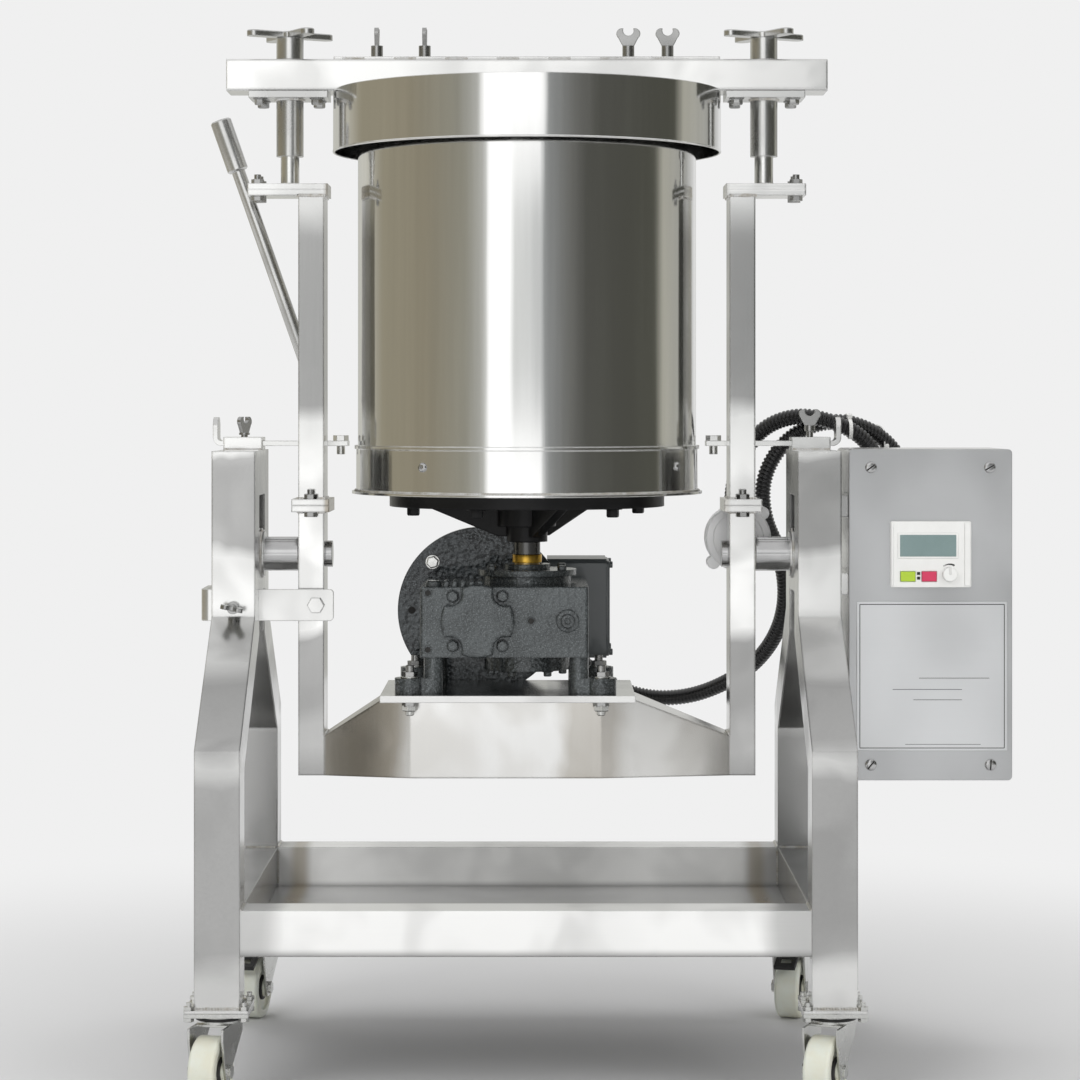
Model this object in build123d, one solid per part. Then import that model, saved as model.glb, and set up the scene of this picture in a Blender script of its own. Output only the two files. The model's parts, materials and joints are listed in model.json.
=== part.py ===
from build123d import *
import math
import os

# A tilting chocolate melanger on a wheeled stand. Millimetres.
# The origin is on the floor under the drum axis; X to the right, Y to the back, Z up.

# Fits
RUNNING = 0.05          # radial clearance of a shaft that turns or slides in its bore
CLEAR = 0.3             # gap between flat faces that move past each other

# Drum and stones
DRUM_RADIUS = 198.0
DRUM_WALL = 2.0
DRUM_HEIGHT = 435.0
DRUM_FLOOR = 4.0
FLARE = 7.0             # how far the foot of the shell turns out
BAND_HEIGHT = 56.0
BAND_THICK = 2.0
BEAD_RADIUS = 2.0
STONE_GAP = 4.0         # base stone to drum wall
STONE_THICK = 60.0
STONE_BORE = 30.0
ROLLER_RADIUS = 90.0
ROLLER_WIDTH = 120.0
ROLLER_INNER = 45.0     # drum axis to the near face of a roller
ROLLER_EDGE = 8.0
AXLE_RADIUS = 12.5
YOKE_POST_RADIUS = 18.0
YOKE_TAIL = 20.0        # post below the axle
WASHER_THICK = 5.0
SCRAPER_WIDTH = 30.0
SCRAPER_THICK = 6.0
SCRAPER_GAP = 3.0
SCRAPER_RISE = 280.0

# Drum hub
HUB_HEIGHT = 83.0       # gear unit's output to drum floor
HUB_DISC_RADIUS = 161.0
HUB_DISC_THICK = 15.0
HUB_SLEEVE_RADIUS = 24.0
HUB_SLEEVE_GAP = 26.0   # bare shaft between sleeve and gear unit
HUB_COLLAR_RADIUS = 34.0
HUB_COLLAR_HEIGHT = 24.0
HUB_RIB_COUNT = 3
HUB_RIB_BEARING = 170.0
HUB_RIB_THICK = 12.0
HUB_RIB_REACH = 124.0
HUB_RIB_DEPTH = 36.0
OUTPUT_RADIUS = 15.0
LIP_THICK = 3.0         # turned-out foot of the shell

# Cradle
AXIS_Z = 585.5          # tilt axis above the floor
DRUM_SIDE_GAP = 38.0    # drum shell to upright
UPRIGHT_WIDTH = 30.0
UPRIGHT_DEPTH = 60.0
UPRIGHT_WALL = 3.0
CRADLE_DROP = 256.5     # tilt axis to the cradle's lowest face
BEAM_HEIGHT = 92.0
BEAM_END_HEIGHT = 46.0
BEAM_MID_DEPTH = 116.0
BEAM_MID_X = (-134.0, 86.0)
BEAM_TOP_X = (-165.0, 121.0)
SPLICE_RISE = 50.2      # tilt axis to the lower splice plate
SPLICE_PLATE = 7.5
SPLICE_MARGIN = (7.0, 14.0)
SPLICE_BOLT_RADIUS = 4.0
TRUNNION_RADIUS = 20.0
TRUNNION_GAP = 45.0     # upright to stand leg
STUD_RADIUS = 10.0
END_NUT_RADIUS = 15.5
END_NUT_THICK = 8.0

# Bridge
BRIDGE_RISE = 34.0      # drum top to the beam's lower face
BRIDGE_OVERHANG = 72.0  # column to the end of the beam
BRIDGE_DEPTH = 60.0
BRIDGE_HEIGHT = 37.0
BRIDGE_WALL = 3.0
STRIP_THICK = 3.0
STRIP_HALF_LENGTH = 225.0
ARM_PLATE = 7.0
ARM_LENGTH = 93.0
ARM_OVERHANG = 4.0      # arm past the inner face of the upright
ARM_BOLT_RADIUS = 4.0
COLUMN_OFFSET = 27.0    # upright centre to column rod, outwards
COLUMN_RADIUS = 11.0
COLUMN_SHOW = 33.0      # bare rod between arm and sleeve
SLEEVE_RADIUS = 16.0
SLEEVE_LENGTH = 67.0
FLANGE_PLATE = 8.0
FLANGE_WIDTH = 92.0
HEAD_TUBE_LENGTH = 27.0
HANDWHEEL_SPAN = 109.0
HANDWHEEL_THICK = 7.0
HANDWHEEL_ARM = 17.0
HANDWHEEL_TURN = 30.0
LID_RADIUS = 227.0
LID_HEIGHT = 71.0
LID_WALL = 2.0
WING_BOLT_X = (-176.0, -120.0, 119.0, 165.0)
WING_BOLT_TURN = (90.0, 90.0, 0.0, 0.0)
WING_STEM_RADIUS = 7.0
WING_STEM_LENGTH = 15.0
WING_THREAD_RADIUS = 5.0
WING_SPAN = 28.0
WING_THICK = 5.0
WING_ROOT = 1.0         # wings sunk into the stem or collar they stand on

# Gear unit and motor
MOTOR_PLATE_THICK = 8.0
MOTOR_PLATE_X = (-167.0, 124.0)
MOTOR_PLATE_Y = (-108.0, 90.0)
FOOT_RISE = 42.0        # motor plate to the underside of the gear housing
FOOT_THICK = 18.0
FOOT_BOLT_X = (-134.0, 85.5)
FOOT_POST_X = (-107.0, 60.0)
FOOT_Y = (-77.0, 70.0)
FOOT_LOBE_RADIUS = 17.5
FOOT_POST_RADIUS = 11.0
FOOT_BOLT_RADIUS = 5.0
HOUSING_X = (-122.0, 71.0)
HOUSING_Y = (-90.0, 92.0)
HOUSING_HEIGHT = 81.0
HOUSING_EDGE = 4.0
HOUSING_SKIRT = 5.0     # posts let into the housing
OUTPUT_STEPS = ((52.0, 9.0), (58.0, 7.0), (27.0, 6.0))
WORM_X = -56.0
WORM_RISE = 42.0        # underside of the gear housing to the worm axis
WORM_RADIUS = 18.0
WORM_SHAFT_RADIUS = 12.0
WORM_LENGTH = 80.0
WHEEL_FACE = 30.0
GEAR_GAP = 0.6
CAVITY_GAP = 6.0        # gears to the walls of the housing
COVER_RADIUS = 42.0
COVER_ARM = 36.0        # width of the cover between its corner cuts
COVER_CUT_RADIUS = 13.0
COVER_THICK = 11.0
COVER_EDGE = 3.0
BASE_COVER_RADIUS = 50.0
BASE_COVER_THICK = 20.0
MOTOR_FLANGE_RADIUS = 100.0
MOTOR_FLANGE_THICK = 14.0
MOTOR_RADIUS = 66.0
FIN_HEIGHT = 7.0
FIN_THICK = 3.0
FIN_COUNT = 30
FIN_ROOT = 2.0          # fin inside the motor body
MOTOR_LENGTH = 180.0
STATOR_BORE = 50.0
ROTOR_GAP = 0.5
ROTOR_LENGTH = 120.0
SHIELD_THICK = 10.0
FAN_COVER_LENGTH = 48.0
FAN_COVER_WALL = 2.0
FAN_COVER_GAP = 0.1     # cover on the fin tips
FAN_GAP = 6.0
FAN_WIDTH = 24.0
FAN_SLOT_ROWS = 4
FAN_SLOT_PITCH = 14.0
TERMINAL_X = (24.0, 96.0)
TERMINAL_Y = (118.0, 218.0)
TERMINAL_HALF_HEIGHT = 60.0
TERMINAL_NECK = 60.0
TERMINAL_EDGE = 5.0

# Stand
TUBE = 50.0
TUBE_WALL = 3.0
HEAD_SPREAD = 59.0      # leg centre to drum axis along Y, at the head
FOOT_SPREAD = 235.0     # the same at the floor
HEAD_RISE = 117.5       # tilt axis to the top of the legs
KNEE_HIGH_DROP = 80.5   # tilt axis to the upper bend
KNEE_LOW_Z = 371.0
RAIL_Z = 185.0
TRAY_THICK = 2.0
HEAD_CAP = 4.0
WEB_HEIGHT = 48.0
BEARING_DOWN = 42.0
BEARING_UP = 27.0
BEARING_FLANGE_RADIUS = 26.5
BEARING_FLANGE = 4.0

# Latches
LATCH_WIDTH = 28.0
LATCH_THICK = 6.0
LATCH_REACH = 24.0      # bar past the upright's inner face
LATCH_TAIL = 11.0       # bar past the stand's outer face
LATCH_HOOK = 28.0
BAR_BEND = 4.0          # inside radius of a bent bar
GUIDE_WALL = 4.5
GUIDE_LENGTH = 46.0
STOP_HEIGHT = 36.5
STOP_THICK = 6.0
STOP_DROP = 57.5        # tilt axis to the stop bar's middle
STOP_GAP = 8.0          # stop bar to upright
STOP_REACH = 12.0
STOP_TAIL = 17.0
STOP_TAB = 85.0         # end of the stop bar, bent back beside the leg
LATCH_SCREW_RADIUS = 4.0
LATCH_SCREW_LENGTH = 14.0
SHORT_SCREW_LENGTH = 5.0
LATCH_SCREW_TURNS = (65.0, 0.0)
LATCH_WING_SPAN = 26.0
PIN_RADIUS = 5.0
LATCH_GAP = 1.0         # upright to latch bar
STOP_SCREW_TURN = -12.0

# Control box
BOX_GAP = 11.0          # stand leg to control box
BOX_WIDTH = 188.0
BOX_Y = (-57.0, 80.0)
BOX_Z = (327.0, 709.0)
BOX_WALL = 2.0
BOX_EDGE = 5.0
PANEL_THICK = 3.0
BRACKET_HEIGHT = 25.0
BRACKET_RISES = (-45.0, 45.0)
BRACKET_Y = (-50.0, 78.0)
KEYPAD_SIZE = (93.0, 76.0)
KEYPAD_FROM_EDGE = 47.0
KEYPAD_CENTRE_Z = 588.0
KEYPAD_THICK = 6.0
KEYPAD_BODY_DEPTH = 40.0
KEYPAD_LIP = 4.0
BUTTON_SIZE = (17.0, 11.5)
BUTTON_PROUD = 1.5
BUTTON_TRAVEL = 1.2
BUTTON_OFFSETS = (-26.5, -2.0)
BUTTON_DROP = 25.5
KNOB_RADIUS = 8.4
KNOB_THICK = 7.0
KNOB_OFFSET = 21.5
KNOB_DROP = 23.0
KNOB_STEM_RADIUS = 3.0
KNOB_MARK = 1.0         # depth of the pointer groove
GLAND_BORE_RADIUS = 6.5
GLAND_RADIUS = 14.0
GLAND_LENGTH = 24.0
GLAND_X_FROM_EDGE = 90.0
GLAND_RISE = 45.0       # foot of the control box to the supply gland

# Casters
WHEEL_RADIUS = 37.5
WHEEL_WIDTH = 30.0
WHEEL_EDGE = 4.0
CASTER_HEIGHT = 99.0
CASTER_TRAIL = 30.0
CASTER_PLATE = 4.0
CASTER_PAD = 4.0
CASTER_PLATE_SIZE = 70.0
CASTER_BOLT_PITCH = 60.0
CASTER_BOLT_RADIUS = 3.0
RACE_RADIUS = 25.0
RACE_HEIGHT = 9.0
KINGPIN_RADIUS = 6.0
KINGPIN_ROOM = 1.0      # kingpin to the hole of the foot pad
FORK_SHEET = 2.5
FORK_GAP = 2.8          # wheel face to fork cheek
CASTER_AXLE_RADIUS = 4.0
FRONT_LEFT_YAW = 12.0
FRONT_RIGHT_YAW = 22.0
REAR_LEFT_YAW = 10.0
REAR_RIGHT_YAW = 16.0
PEDAL_WIDTH = 26.0
PEDAL_LENGTH = 40.0
PEDAL_THICK = 5.0
PEDAL_PIN_RADIUS = 2.5
PEDAL_PIN_FORWARD = 38.0
PEDAL_PIN_DROP = 16.0   # top of the caster plate to the pedal's pin
PEDAL_SLOPE = 25.0

# Round junction box and tilt lever
JUNCTION_RADIUS = 39.0
JUNCTION_DEPTH = 33.0
JUNCTION_STANDOFF = 16.0    # upright to box
JUNCTION_RISE = 16.5
LEVER_RADIUS = 8.0
LEVER_START_RISE = 190.0
LEVER_LEAN = 19.4
LEVER_LENGTH = 278.0
LEVER_STANDOFF = 15.0   # upright to lever axis
GRIP_RADIUS = 12.5
GRIP_LENGTH = 64.0
LEVER_FOOT = 60.0

# Corrugated conduits
CONDUIT_RADIUS = 10.0
CONDUIT_ROOT_RADIUS = 8.6
CONDUIT_BORE_RADIUS = 7.6
MOTOR_CONDUIT_RIBS = 200
JUNCTION_CONDUIT_RIBS = 130
BEND_SHARE = 0.45       # of the shorter run that a bend takes up
RIB_PROFILE = (
    (0.0, CONDUIT_ROOT_RADIUS), (0.25, CONDUIT_RADIUS), (0.6, CONDUIT_RADIUS), (0.85, CONDUIT_ROOT_RADIUS),
)
MOTOR_CONDUIT_ROUTE = [
    (42, 242, 480), (42, 287, 480), (48, 329, 462), (67, 360, 430), (101, 373, 399), (148, 371, 381),
    (198, 358, 381), (243, 333, 397), (288, 294, 429), (316, 256, 474), (324, 228, 525), (313, 208, 578),
    (292, 194, 621), (290, 191, 669), (313, 186, 712), (353, 189, 738), (402, 191, 740), (448, 204, 716),
    (473, 213, 673), (473, 217, 613), (474, 194, 569), (474, 152, 544), (474, 104, 544),
]
JUNCTION_CONDUIT_ROUTE = [
    (251, 103, 606), (251, 142, 606), (252, 178, 625), (254, 201, 660), (267, 206, 700), (292, 194, 733),
    (330, 175, 748), (370, 164, 742), (412, 172, 723), (436, 189, 688), (438, 208, 652), (436, 209, 611),
    (434, 188, 570), (434, 147, 546), (434, 104, 546),
]

# Places that follow from the sizes above
UPRIGHT_X = DRUM_RADIUS + DRUM_SIDE_GAP + UPRIGHT_WIDTH / 2
UPRIGHT_INNER = UPRIGHT_X - UPRIGHT_WIDTH / 2
UPRIGHT_OUTER = UPRIGHT_X + UPRIGHT_WIDTH / 2
UPRIGHT_FACE = UPRIGHT_DEPTH / 2
STAND_X = UPRIGHT_OUTER + TRUNNION_GAP + TUBE / 2
STAND_INNER = STAND_X - TUBE / 2
STAND_OUTER = STAND_X + TUBE / 2
CRADLE_BOTTOM = AXIS_Z - CRADLE_DROP
PLATE_TOP = CRADLE_BOTTOM + BEAM_HEIGHT + MOTOR_PLATE_THICK
HOUSING_BOTTOM = PLATE_TOP + FOOT_RISE
HOUSING_TOP = HOUSING_BOTTOM + HOUSING_HEIGHT
OUTPUT_TOP = HOUSING_TOP + sum(height for _, height in OUTPUT_STEPS)
WORM_Z = HOUSING_BOTTOM + WORM_RISE
DRUM_BOTTOM = OUTPUT_TOP + HUB_HEIGHT
DRUM_TOP = DRUM_BOTTOM + DRUM_HEIGHT
STONE_TOP = DRUM_BOTTOM + DRUM_FLOOR + STONE_THICK
ROLLER_Z = STONE_TOP + CLEAR + ROLLER_RADIUS
ROLLER_OUTER = ROLLER_INNER + ROLLER_WIDTH
BRIDGE_BOTTOM = DRUM_TOP + BRIDGE_RISE
BRIDGE_TOP = BRIDGE_BOTTOM + BRIDGE_HEIGHT
STRIP_TOP = BRIDGE_TOP + STRIP_THICK
SLEEVE_BOTTOM = BRIDGE_BOTTOM - FLANGE_PLATE - SLEEVE_LENGTH
ARM_TOP = SLEEVE_BOTTOM - COLUMN_SHOW
UPRIGHT_TOP = ARM_TOP - 2 * ARM_PLATE
SPLICE_Z = AXIS_Z + SPLICE_RISE + SPLICE_PLATE
COLUMN_X = UPRIGHT_X + COLUMN_OFFSET
BRIDGE_HALF_LENGTH = COLUMN_X + BRIDGE_OVERHANG
HEAD_TUBE_TOP = BRIDGE_TOP + HEAD_TUBE_LENGTH
LEG_BOTTOM = CASTER_HEIGHT + CASTER_PAD
HEAD_TOP = AXIS_Z + HEAD_RISE
KNEE_HIGH_Z = AXIS_Z - KNEE_HIGH_DROP
HEAD_FACE = HEAD_SPREAD + TUBE / 2
HEAD_INNER = HEAD_SPREAD - TUBE / 2
LATCH_BOTTOM = HEAD_TOP + HEAD_CAP + GUIDE_WALL
LATCH_TOP = LATCH_BOTTOM + LATCH_THICK
LATCH_Y = UPRIGHT_FACE + LATCH_GAP + LATCH_WIDTH / 2
GUIDE_TOP = LATCH_TOP + GUIDE_WALL
STOP_Z = AXIS_Z - STOP_DROP
STOP_BACK = -UPRIGHT_FACE - STOP_GAP
STOP_FRONT = STOP_BACK - STOP_THICK
STOP_PIN_X = -(UPRIGHT_INNER + STOP_REACH * 0.7)
BOX_LEFT = STAND_OUTER + BOX_GAP
BOX_RIGHT = BOX_LEFT + BOX_WIDTH
PANEL_FACE = BOX_Y[0] - PANEL_THICK
KEYPAD_X = BOX_LEFT + KEYPAD_FROM_EDGE + KEYPAD_SIZE[0] / 2
KEYPAD_FACE = PANEL_FACE - KEYPAD_THICK
MOTOR_FRONT = HOUSING_Y[1]
MOTOR_BODY_START = MOTOR_FRONT + MOTOR_FLANGE_THICK
MOTOR_BACK = MOTOR_BODY_START + MOTOR_LENGTH
WORM_WHEEL_RADIUS = -WORM_X - WORM_RADIUS - GEAR_GAP
JUNCTION_Z = AXIS_Z + JUNCTION_RISE
JUNCTION_FRONT = UPRIGHT_FACE + JUNCTION_STANDOFF
JUNCTION_BACK = JUNCTION_FRONT + JUNCTION_DEPTH
FORK_INNER = WHEEL_WIDTH / 2 + FORK_GAP
FORK_OUTER = FORK_INNER + FORK_SHEET
RACE_BOTTOM = CASTER_HEIGHT - CASTER_PLATE - CLEAR - RACE_HEIGHT
PEDAL_PIN_Z = CASTER_HEIGHT - PEDAL_PIN_DROP
CASTER_PLACES = {
    "front_left": (-STAND_X, -FOOT_SPREAD, FRONT_LEFT_YAW, False),
    "front_right": (STAND_X, -FOOT_SPREAD, FRONT_RIGHT_YAW, False),
    "rear_left": (-STAND_X, FOOT_SPREAD, REAR_LEFT_YAW, True),
    "rear_right": (STAND_X, FOOT_SPREAD, REAR_RIGHT_YAW, True),
}


# Shared shapes
def block(x_pair, y_pair, z_pair):
    """Box between two corners, given as one pair of limits for each axis."""
    size = [abs(pair[1] - pair[0]) for pair in (x_pair, y_pair, z_pair)]
    middle = [(pair[0] + pair[1]) / 2 for pair in (x_pair, y_pair, z_pair)]
    return Pos(*middle) * Box(*size)


def upright_rod(x, y, z_low, z_high, radius):
    """Round bar along Z."""
    return Pos(x, y, (z_low + z_high) / 2) * Cylinder(radius, z_high - z_low)


def cross_rod(x_low, x_high, y, z, radius):
    """Round bar along X."""
    return Pos((x_low + x_high) / 2, y, z) * Rot(0, 90, 0) * Cylinder(radius, abs(x_high - x_low))


def depth_rod(x, y_low, y_high, z, radius):
    """Round bar along Y."""
    return Pos(x, (y_low + y_high) / 2, z) * Rot(90, 0, 0) * Cylinder(radius, y_high - y_low)


def prism(plane, outline, start, end):
    """Solid with a closed outline in a plane, between two offsets along its normal."""
    face = make_face(Polyline(*outline, close=True))
    return extrude(plane.offset(start) * face, end - start, dir=plane.z_dir)


def turned(outline):
    """Solid of revolution about Z, from a closed outline of (radius, height) points."""
    return revolve(make_face(Plane.XZ * Polyline(*outline, close=True)), Axis.Z)


def hexagon(width, height):
    """Hexagonal head or nut on the XY plane, upwards."""
    return extrude(RegularPolygon(width / 2, 6, major_radius=False), height, dir=(0, 0, 1))


def mirrored_pair(make):
    """Left and right copies of a piece made by a function of the side's sign."""
    return [make(-1), make(1)]


def mitred_band(points, width):
    """Outline of a band of even width along a bent line, mitred at its corners."""
    line = [Vector(*point) for point in points]
    runs = [(after - before).normalized() for before, after in zip(line, line[1:])]
    first_side = []
    second_side = []
    for point, coming, going in zip(line, runs[:1] + runs, runs + runs[-1:]):
        along = coming + going
        across = Vector(-along.Y, along.X).normalized()
        reach = across * (width / 2 / across.dot(Vector(-going.Y, going.X)))
        first_side.append(point + reach)
        second_side.append(point - reach)
    return first_side + second_side[::-1]


def square_tube_y(x, z, y_low, y_high):
    """Square tube along Y, open at both ends."""
    half = TUBE / 2
    hollow = half - TUBE_WALL
    outer = block((x - half, x + half), (y_low, y_high), (z - half, z + half))
    return outer - block((x - hollow, x + hollow), (y_low, y_high), (z - hollow, z + hollow))


def wing_plate(span, thick):
    """Two rounded wings of a hand screw, in the XZ plane, standing on Z = 0."""
    lobe = span / 4.5
    reach = span / 2 - lobe
    rise = span * 0.55
    wings = Pos(-reach, rise) * Circle(lobe) + Pos(reach, rise) * Circle(lobe)
    root = make_face(
        Polyline(
            (-lobe, 0), (lobe, 0), (reach + lobe * 0.8, rise * 0.8), (reach, rise),
            (-reach, rise), (-reach - lobe * 0.8, rise * 0.8), close=True,
        )
    )
    notch = Pos(0, rise + lobe * 0.6) * Circle(reach * 0.8)
    return extrude(Plane.XZ * (wings + root - notch), thick / 2, both=True)


# Stand
def leg(x, facing):
    """Bent square tube from head to foot; facing is -1 for a front leg and 1 for a rear leg."""
    line = [
        (facing * HEAD_SPREAD, HEAD_TOP),
        (facing * HEAD_SPREAD, KNEE_HIGH_Z),
        (facing * FOOT_SPREAD, KNEE_LOW_Z),
        (facing * FOOT_SPREAD, LEG_BOTTOM),
    ]
    half = TUBE / 2
    hollow = half - TUBE_WALL
    outer = prism(Plane.YZ, mitred_band(line, TUBE), x - half, x + half)
    return outer - prism(Plane.YZ, mitred_band(line, 2 * hollow), x - hollow, x + hollow)


def bolt_square(x, y):
    """Centres of the four caster bolts round a leg."""
    half = CASTER_BOLT_PITCH / 2
    return [(x + dx, y + dy) for dx in (-half, half) for dy in (-half, half)]


def foot_pad(x, y):
    """Square plate welded under a leg, drilled for the caster bolts and vented in the middle."""
    half = CASTER_PLATE_SIZE / 2
    pad = block((x - half, x + half), (y - half, y + half), (CASTER_HEIGHT, LEG_BOTTOM))
    for bolt_x, bolt_y in bolt_square(x, y):
        pad -= upright_rod(bolt_x, bolt_y, CASTER_HEIGHT, LEG_BOTTOM, CASTER_BOLT_RADIUS)
    return pad - upright_rod(x, y, CASTER_HEIGHT, LEG_BOTTOM, KINGPIN_RADIUS + KINGPIN_ROOM)


def latch_guide(x):
    """Slotted block on the head of a side frame, with the hole of its wing screw."""
    half = GUIDE_LENGTH / 2
    width = LATCH_WIDTH / 2 + CLEAR
    y_pair = (LATCH_Y - width - GUIDE_WALL, LATCH_Y + width + GUIDE_WALL)
    body = block((x - half, x + half), y_pair, (HEAD_TOP + HEAD_CAP, GUIDE_TOP))
    slot_z = (LATCH_BOTTOM - CLEAR, LATCH_TOP + CLEAR)
    body -= block((x - half, x + half), (LATCH_Y - width, LATCH_Y + width), slot_z)
    return body - upright_rod(x, LATCH_Y, LATCH_TOP, GUIDE_TOP, LATCH_SCREW_RADIUS + RUNNING)


def side_frame(side):
    """Welded side frame: two bent legs, side rail, head cap, head web, latch guide and foot pads."""
    x = side * STAND_X
    half = TUBE / 2
    frame = leg(x, -1) + leg(x, 1)
    rail_end = FOOT_SPREAD - half
    frame += square_tube_y(x, RAIL_Z, -rail_end, rail_end)
    frame += block((x - half, x + half), (-HEAD_FACE, HEAD_FACE), (HEAD_TOP, HEAD_TOP + HEAD_CAP))
    web_z = (HEAD_TOP - WEB_HEIGHT, HEAD_TOP)
    for web_x in (x - half, x + half - TUBE_WALL):
        frame += block((web_x, web_x + TUBE_WALL), (-HEAD_INNER, HEAD_INNER), web_z)
    frame += latch_guide(x)
    for facing in (-1, 1):
        frame += foot_pad(x, facing * FOOT_SPREAD)
    return frame


def left_side_frame():
    """Side frame with the slot of the stop bar and the hole of its wing screw in the front leg."""
    slot_y = (STOP_FRONT - CLEAR, STOP_BACK + CLEAR)
    half = STOP_HEIGHT / 2 + CLEAR
    slot = block((-STAND_OUTER, -STAND_INNER), slot_y, (STOP_Z - half, STOP_Z + half))
    hole = depth_rod(-STAND_X, -HEAD_FACE, STOP_FRONT, STOP_Z, LATCH_SCREW_RADIUS + RUNNING)
    return side_frame(-1) - slot - hole


def cross_rail(facing):
    """Square tube between the left and right legs, open where it meets them."""
    half = TUBE / 2
    hollow = half - TUBE_WALL
    y = facing * FOOT_SPREAD
    x_pair = (-STAND_INNER, STAND_INNER)
    outer = block(x_pair, (y - half, y + half), (RAIL_Z - half, RAIL_Z + half))
    return outer - block(x_pair, (y - hollow, y + hollow), (RAIL_Z - hollow, RAIL_Z + hollow))


def tray():
    """Sheet that closes the foot of the stand, level with the underside of the rails."""
    reach = FOOT_SPREAD - TUBE / 2
    low = RAIL_Z - TUBE / 2
    return block((-STAND_INNER, STAND_INNER), (-reach, reach), (low, low + TRAY_THICK))


def bearing_block(side):
    """Block between the legs that carries a trunnion, with a round flange on its inner face."""
    x = side * STAND_X
    inner = side * STAND_INNER
    flange_end = side * (STAND_INNER - BEARING_FLANGE)
    z_pair = (AXIS_Z - BEARING_DOWN, AXIS_Z + BEARING_UP)
    body = block((x - TUBE / 2, x + TUBE / 2), (-HEAD_INNER, HEAD_INNER), z_pair)
    body += cross_rod(flange_end, inner, 0, AXIS_Z, BEARING_FLANGE_RADIUS)
    return body - cross_rod(flange_end, side * STAND_OUTER, 0, AXIS_Z, TRUNNION_RADIUS + RUNNING)


def caster_plate(x, y):
    """Top plate of a caster, drilled for its bolts and its kingpin."""
    half = CASTER_PLATE_SIZE / 2
    z_pair = (CASTER_HEIGHT - CASTER_PLATE, CASTER_HEIGHT)
    plate = block((x - half, x + half), (y - half, y + half), z_pair)
    for bolt_x, bolt_y in bolt_square(x, y):
        plate -= upright_rod(bolt_x, bolt_y, *z_pair, CASTER_BOLT_RADIUS)
    return plate - upright_rod(x, y, *z_pair, KINGPIN_RADIUS + RUNNING)


def hex_bolt(x, y, z_low, z_high, radius):
    """Hex bolt through plates between two heights, head below and nut above."""
    wide = radius * 3.25
    thick = radius * 1.4
    head = Pos(x, y, z_low - thick) * hexagon(wide, thick)
    nut = Pos(x, y, z_high) * hexagon(wide, thick)
    return head + upright_rod(x, y, z_low, z_high + 2 * thick, radius) + nut


def caster_bolts():
    """Four bolts with nuts through each pair of caster plates."""
    low = CASTER_HEIGHT - CASTER_PLATE
    bolts = []
    for x, y, _, _ in CASTER_PLACES.values():
        bolts += [hex_bolt(*place, low, LEG_BOTTOM, CASTER_BOLT_RADIUS) for place in bolt_square(x, y)]
    return bolts


# Casters, made about their own swivel axis with the wheel trailing towards -Y
def fork(braked):
    """Swivel fork with ball race, kingpin and wheel axle; a braked one has the pedal's pin holes."""
    axle_y = -CASTER_TRAIL
    boss = CASTER_AXLE_RADIUS * 2.6
    front = -PEDAL_PIN_FORWARD - boss
    back = RACE_RADIUS * 0.8
    knee = PEDAL_PIN_Z - boss
    outline = [
        (back, RACE_BOTTOM), (front, RACE_BOTTOM), (front, knee),
        (axle_y - boss, WHEEL_RADIUS), (axle_y - boss / 2, WHEEL_RADIUS - boss),
        (axle_y + boss / 2, WHEEL_RADIUS - boss), (axle_y + boss, WHEEL_RADIUS), (back, knee),
    ]
    crown_z = (RACE_BOTTOM - FORK_SHEET, RACE_BOTTOM)
    body = block((-FORK_OUTER, FORK_OUTER), (axle_y + boss / 2, back), crown_z)
    for inner in (-FORK_OUTER, FORK_INNER):
        body += prism(Plane.YZ, outline, inner, inner + FORK_SHEET)
    body += upright_rod(0, 0, RACE_BOTTOM, RACE_BOTTOM + RACE_HEIGHT, RACE_RADIUS)
    body += upright_rod(0, 0, RACE_BOTTOM, CASTER_HEIGHT, KINGPIN_RADIUS)
    body -= cross_rod(-FORK_OUTER, FORK_OUTER, axle_y, WHEEL_RADIUS, CASTER_AXLE_RADIUS)
    if braked:
        hole = PEDAL_PIN_RADIUS + RUNNING
        body -= cross_rod(-FORK_OUTER, FORK_OUTER, -PEDAL_PIN_FORWARD, PEDAL_PIN_Z, hole)
    axle = cross_rod(-FORK_OUTER, FORK_OUTER, axle_y, WHEEL_RADIUS, CASTER_AXLE_RADIUS)
    thick = CASTER_AXLE_RADIUS
    for side in (-1, 1):
        head = Rot(0, 90 * side, 0) * hexagon(CASTER_AXLE_RADIUS * 3.25, thick)
        axle += Pos(side * FORK_OUTER, axle_y, WHEEL_RADIUS) * head
    return [body, axle]


def wheel():
    """Solid wheel with rounded tread edges, dished faces and a hub that reaches the fork cheeks."""
    hub = WHEEL_RADIUS * 0.3
    dish = WHEEL_WIDTH * 0.12
    tyre = Cylinder(WHEEL_RADIUS, WHEEL_WIDTH)
    tyre = fillet(tyre.edges().filter_by(GeomType.CIRCLE), WHEEL_EDGE)
    ring = Cylinder(WHEEL_RADIUS * 0.74, dish) - Cylinder(hub, dish)
    for side in (-1, 1):
        tyre -= Pos(0, 0, side * (WHEEL_WIDTH - dish) / 2) * ring
    tyre += Cylinder(hub, 2 * (FORK_INNER - CLEAR))
    tyre -= Cylinder(CASTER_AXLE_RADIUS + RUNNING, 2 * FORK_INNER)
    return Pos(0, -CASTER_TRAIL, WHEEL_RADIUS) * Rot(0, 90, 0) * tyre


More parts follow.
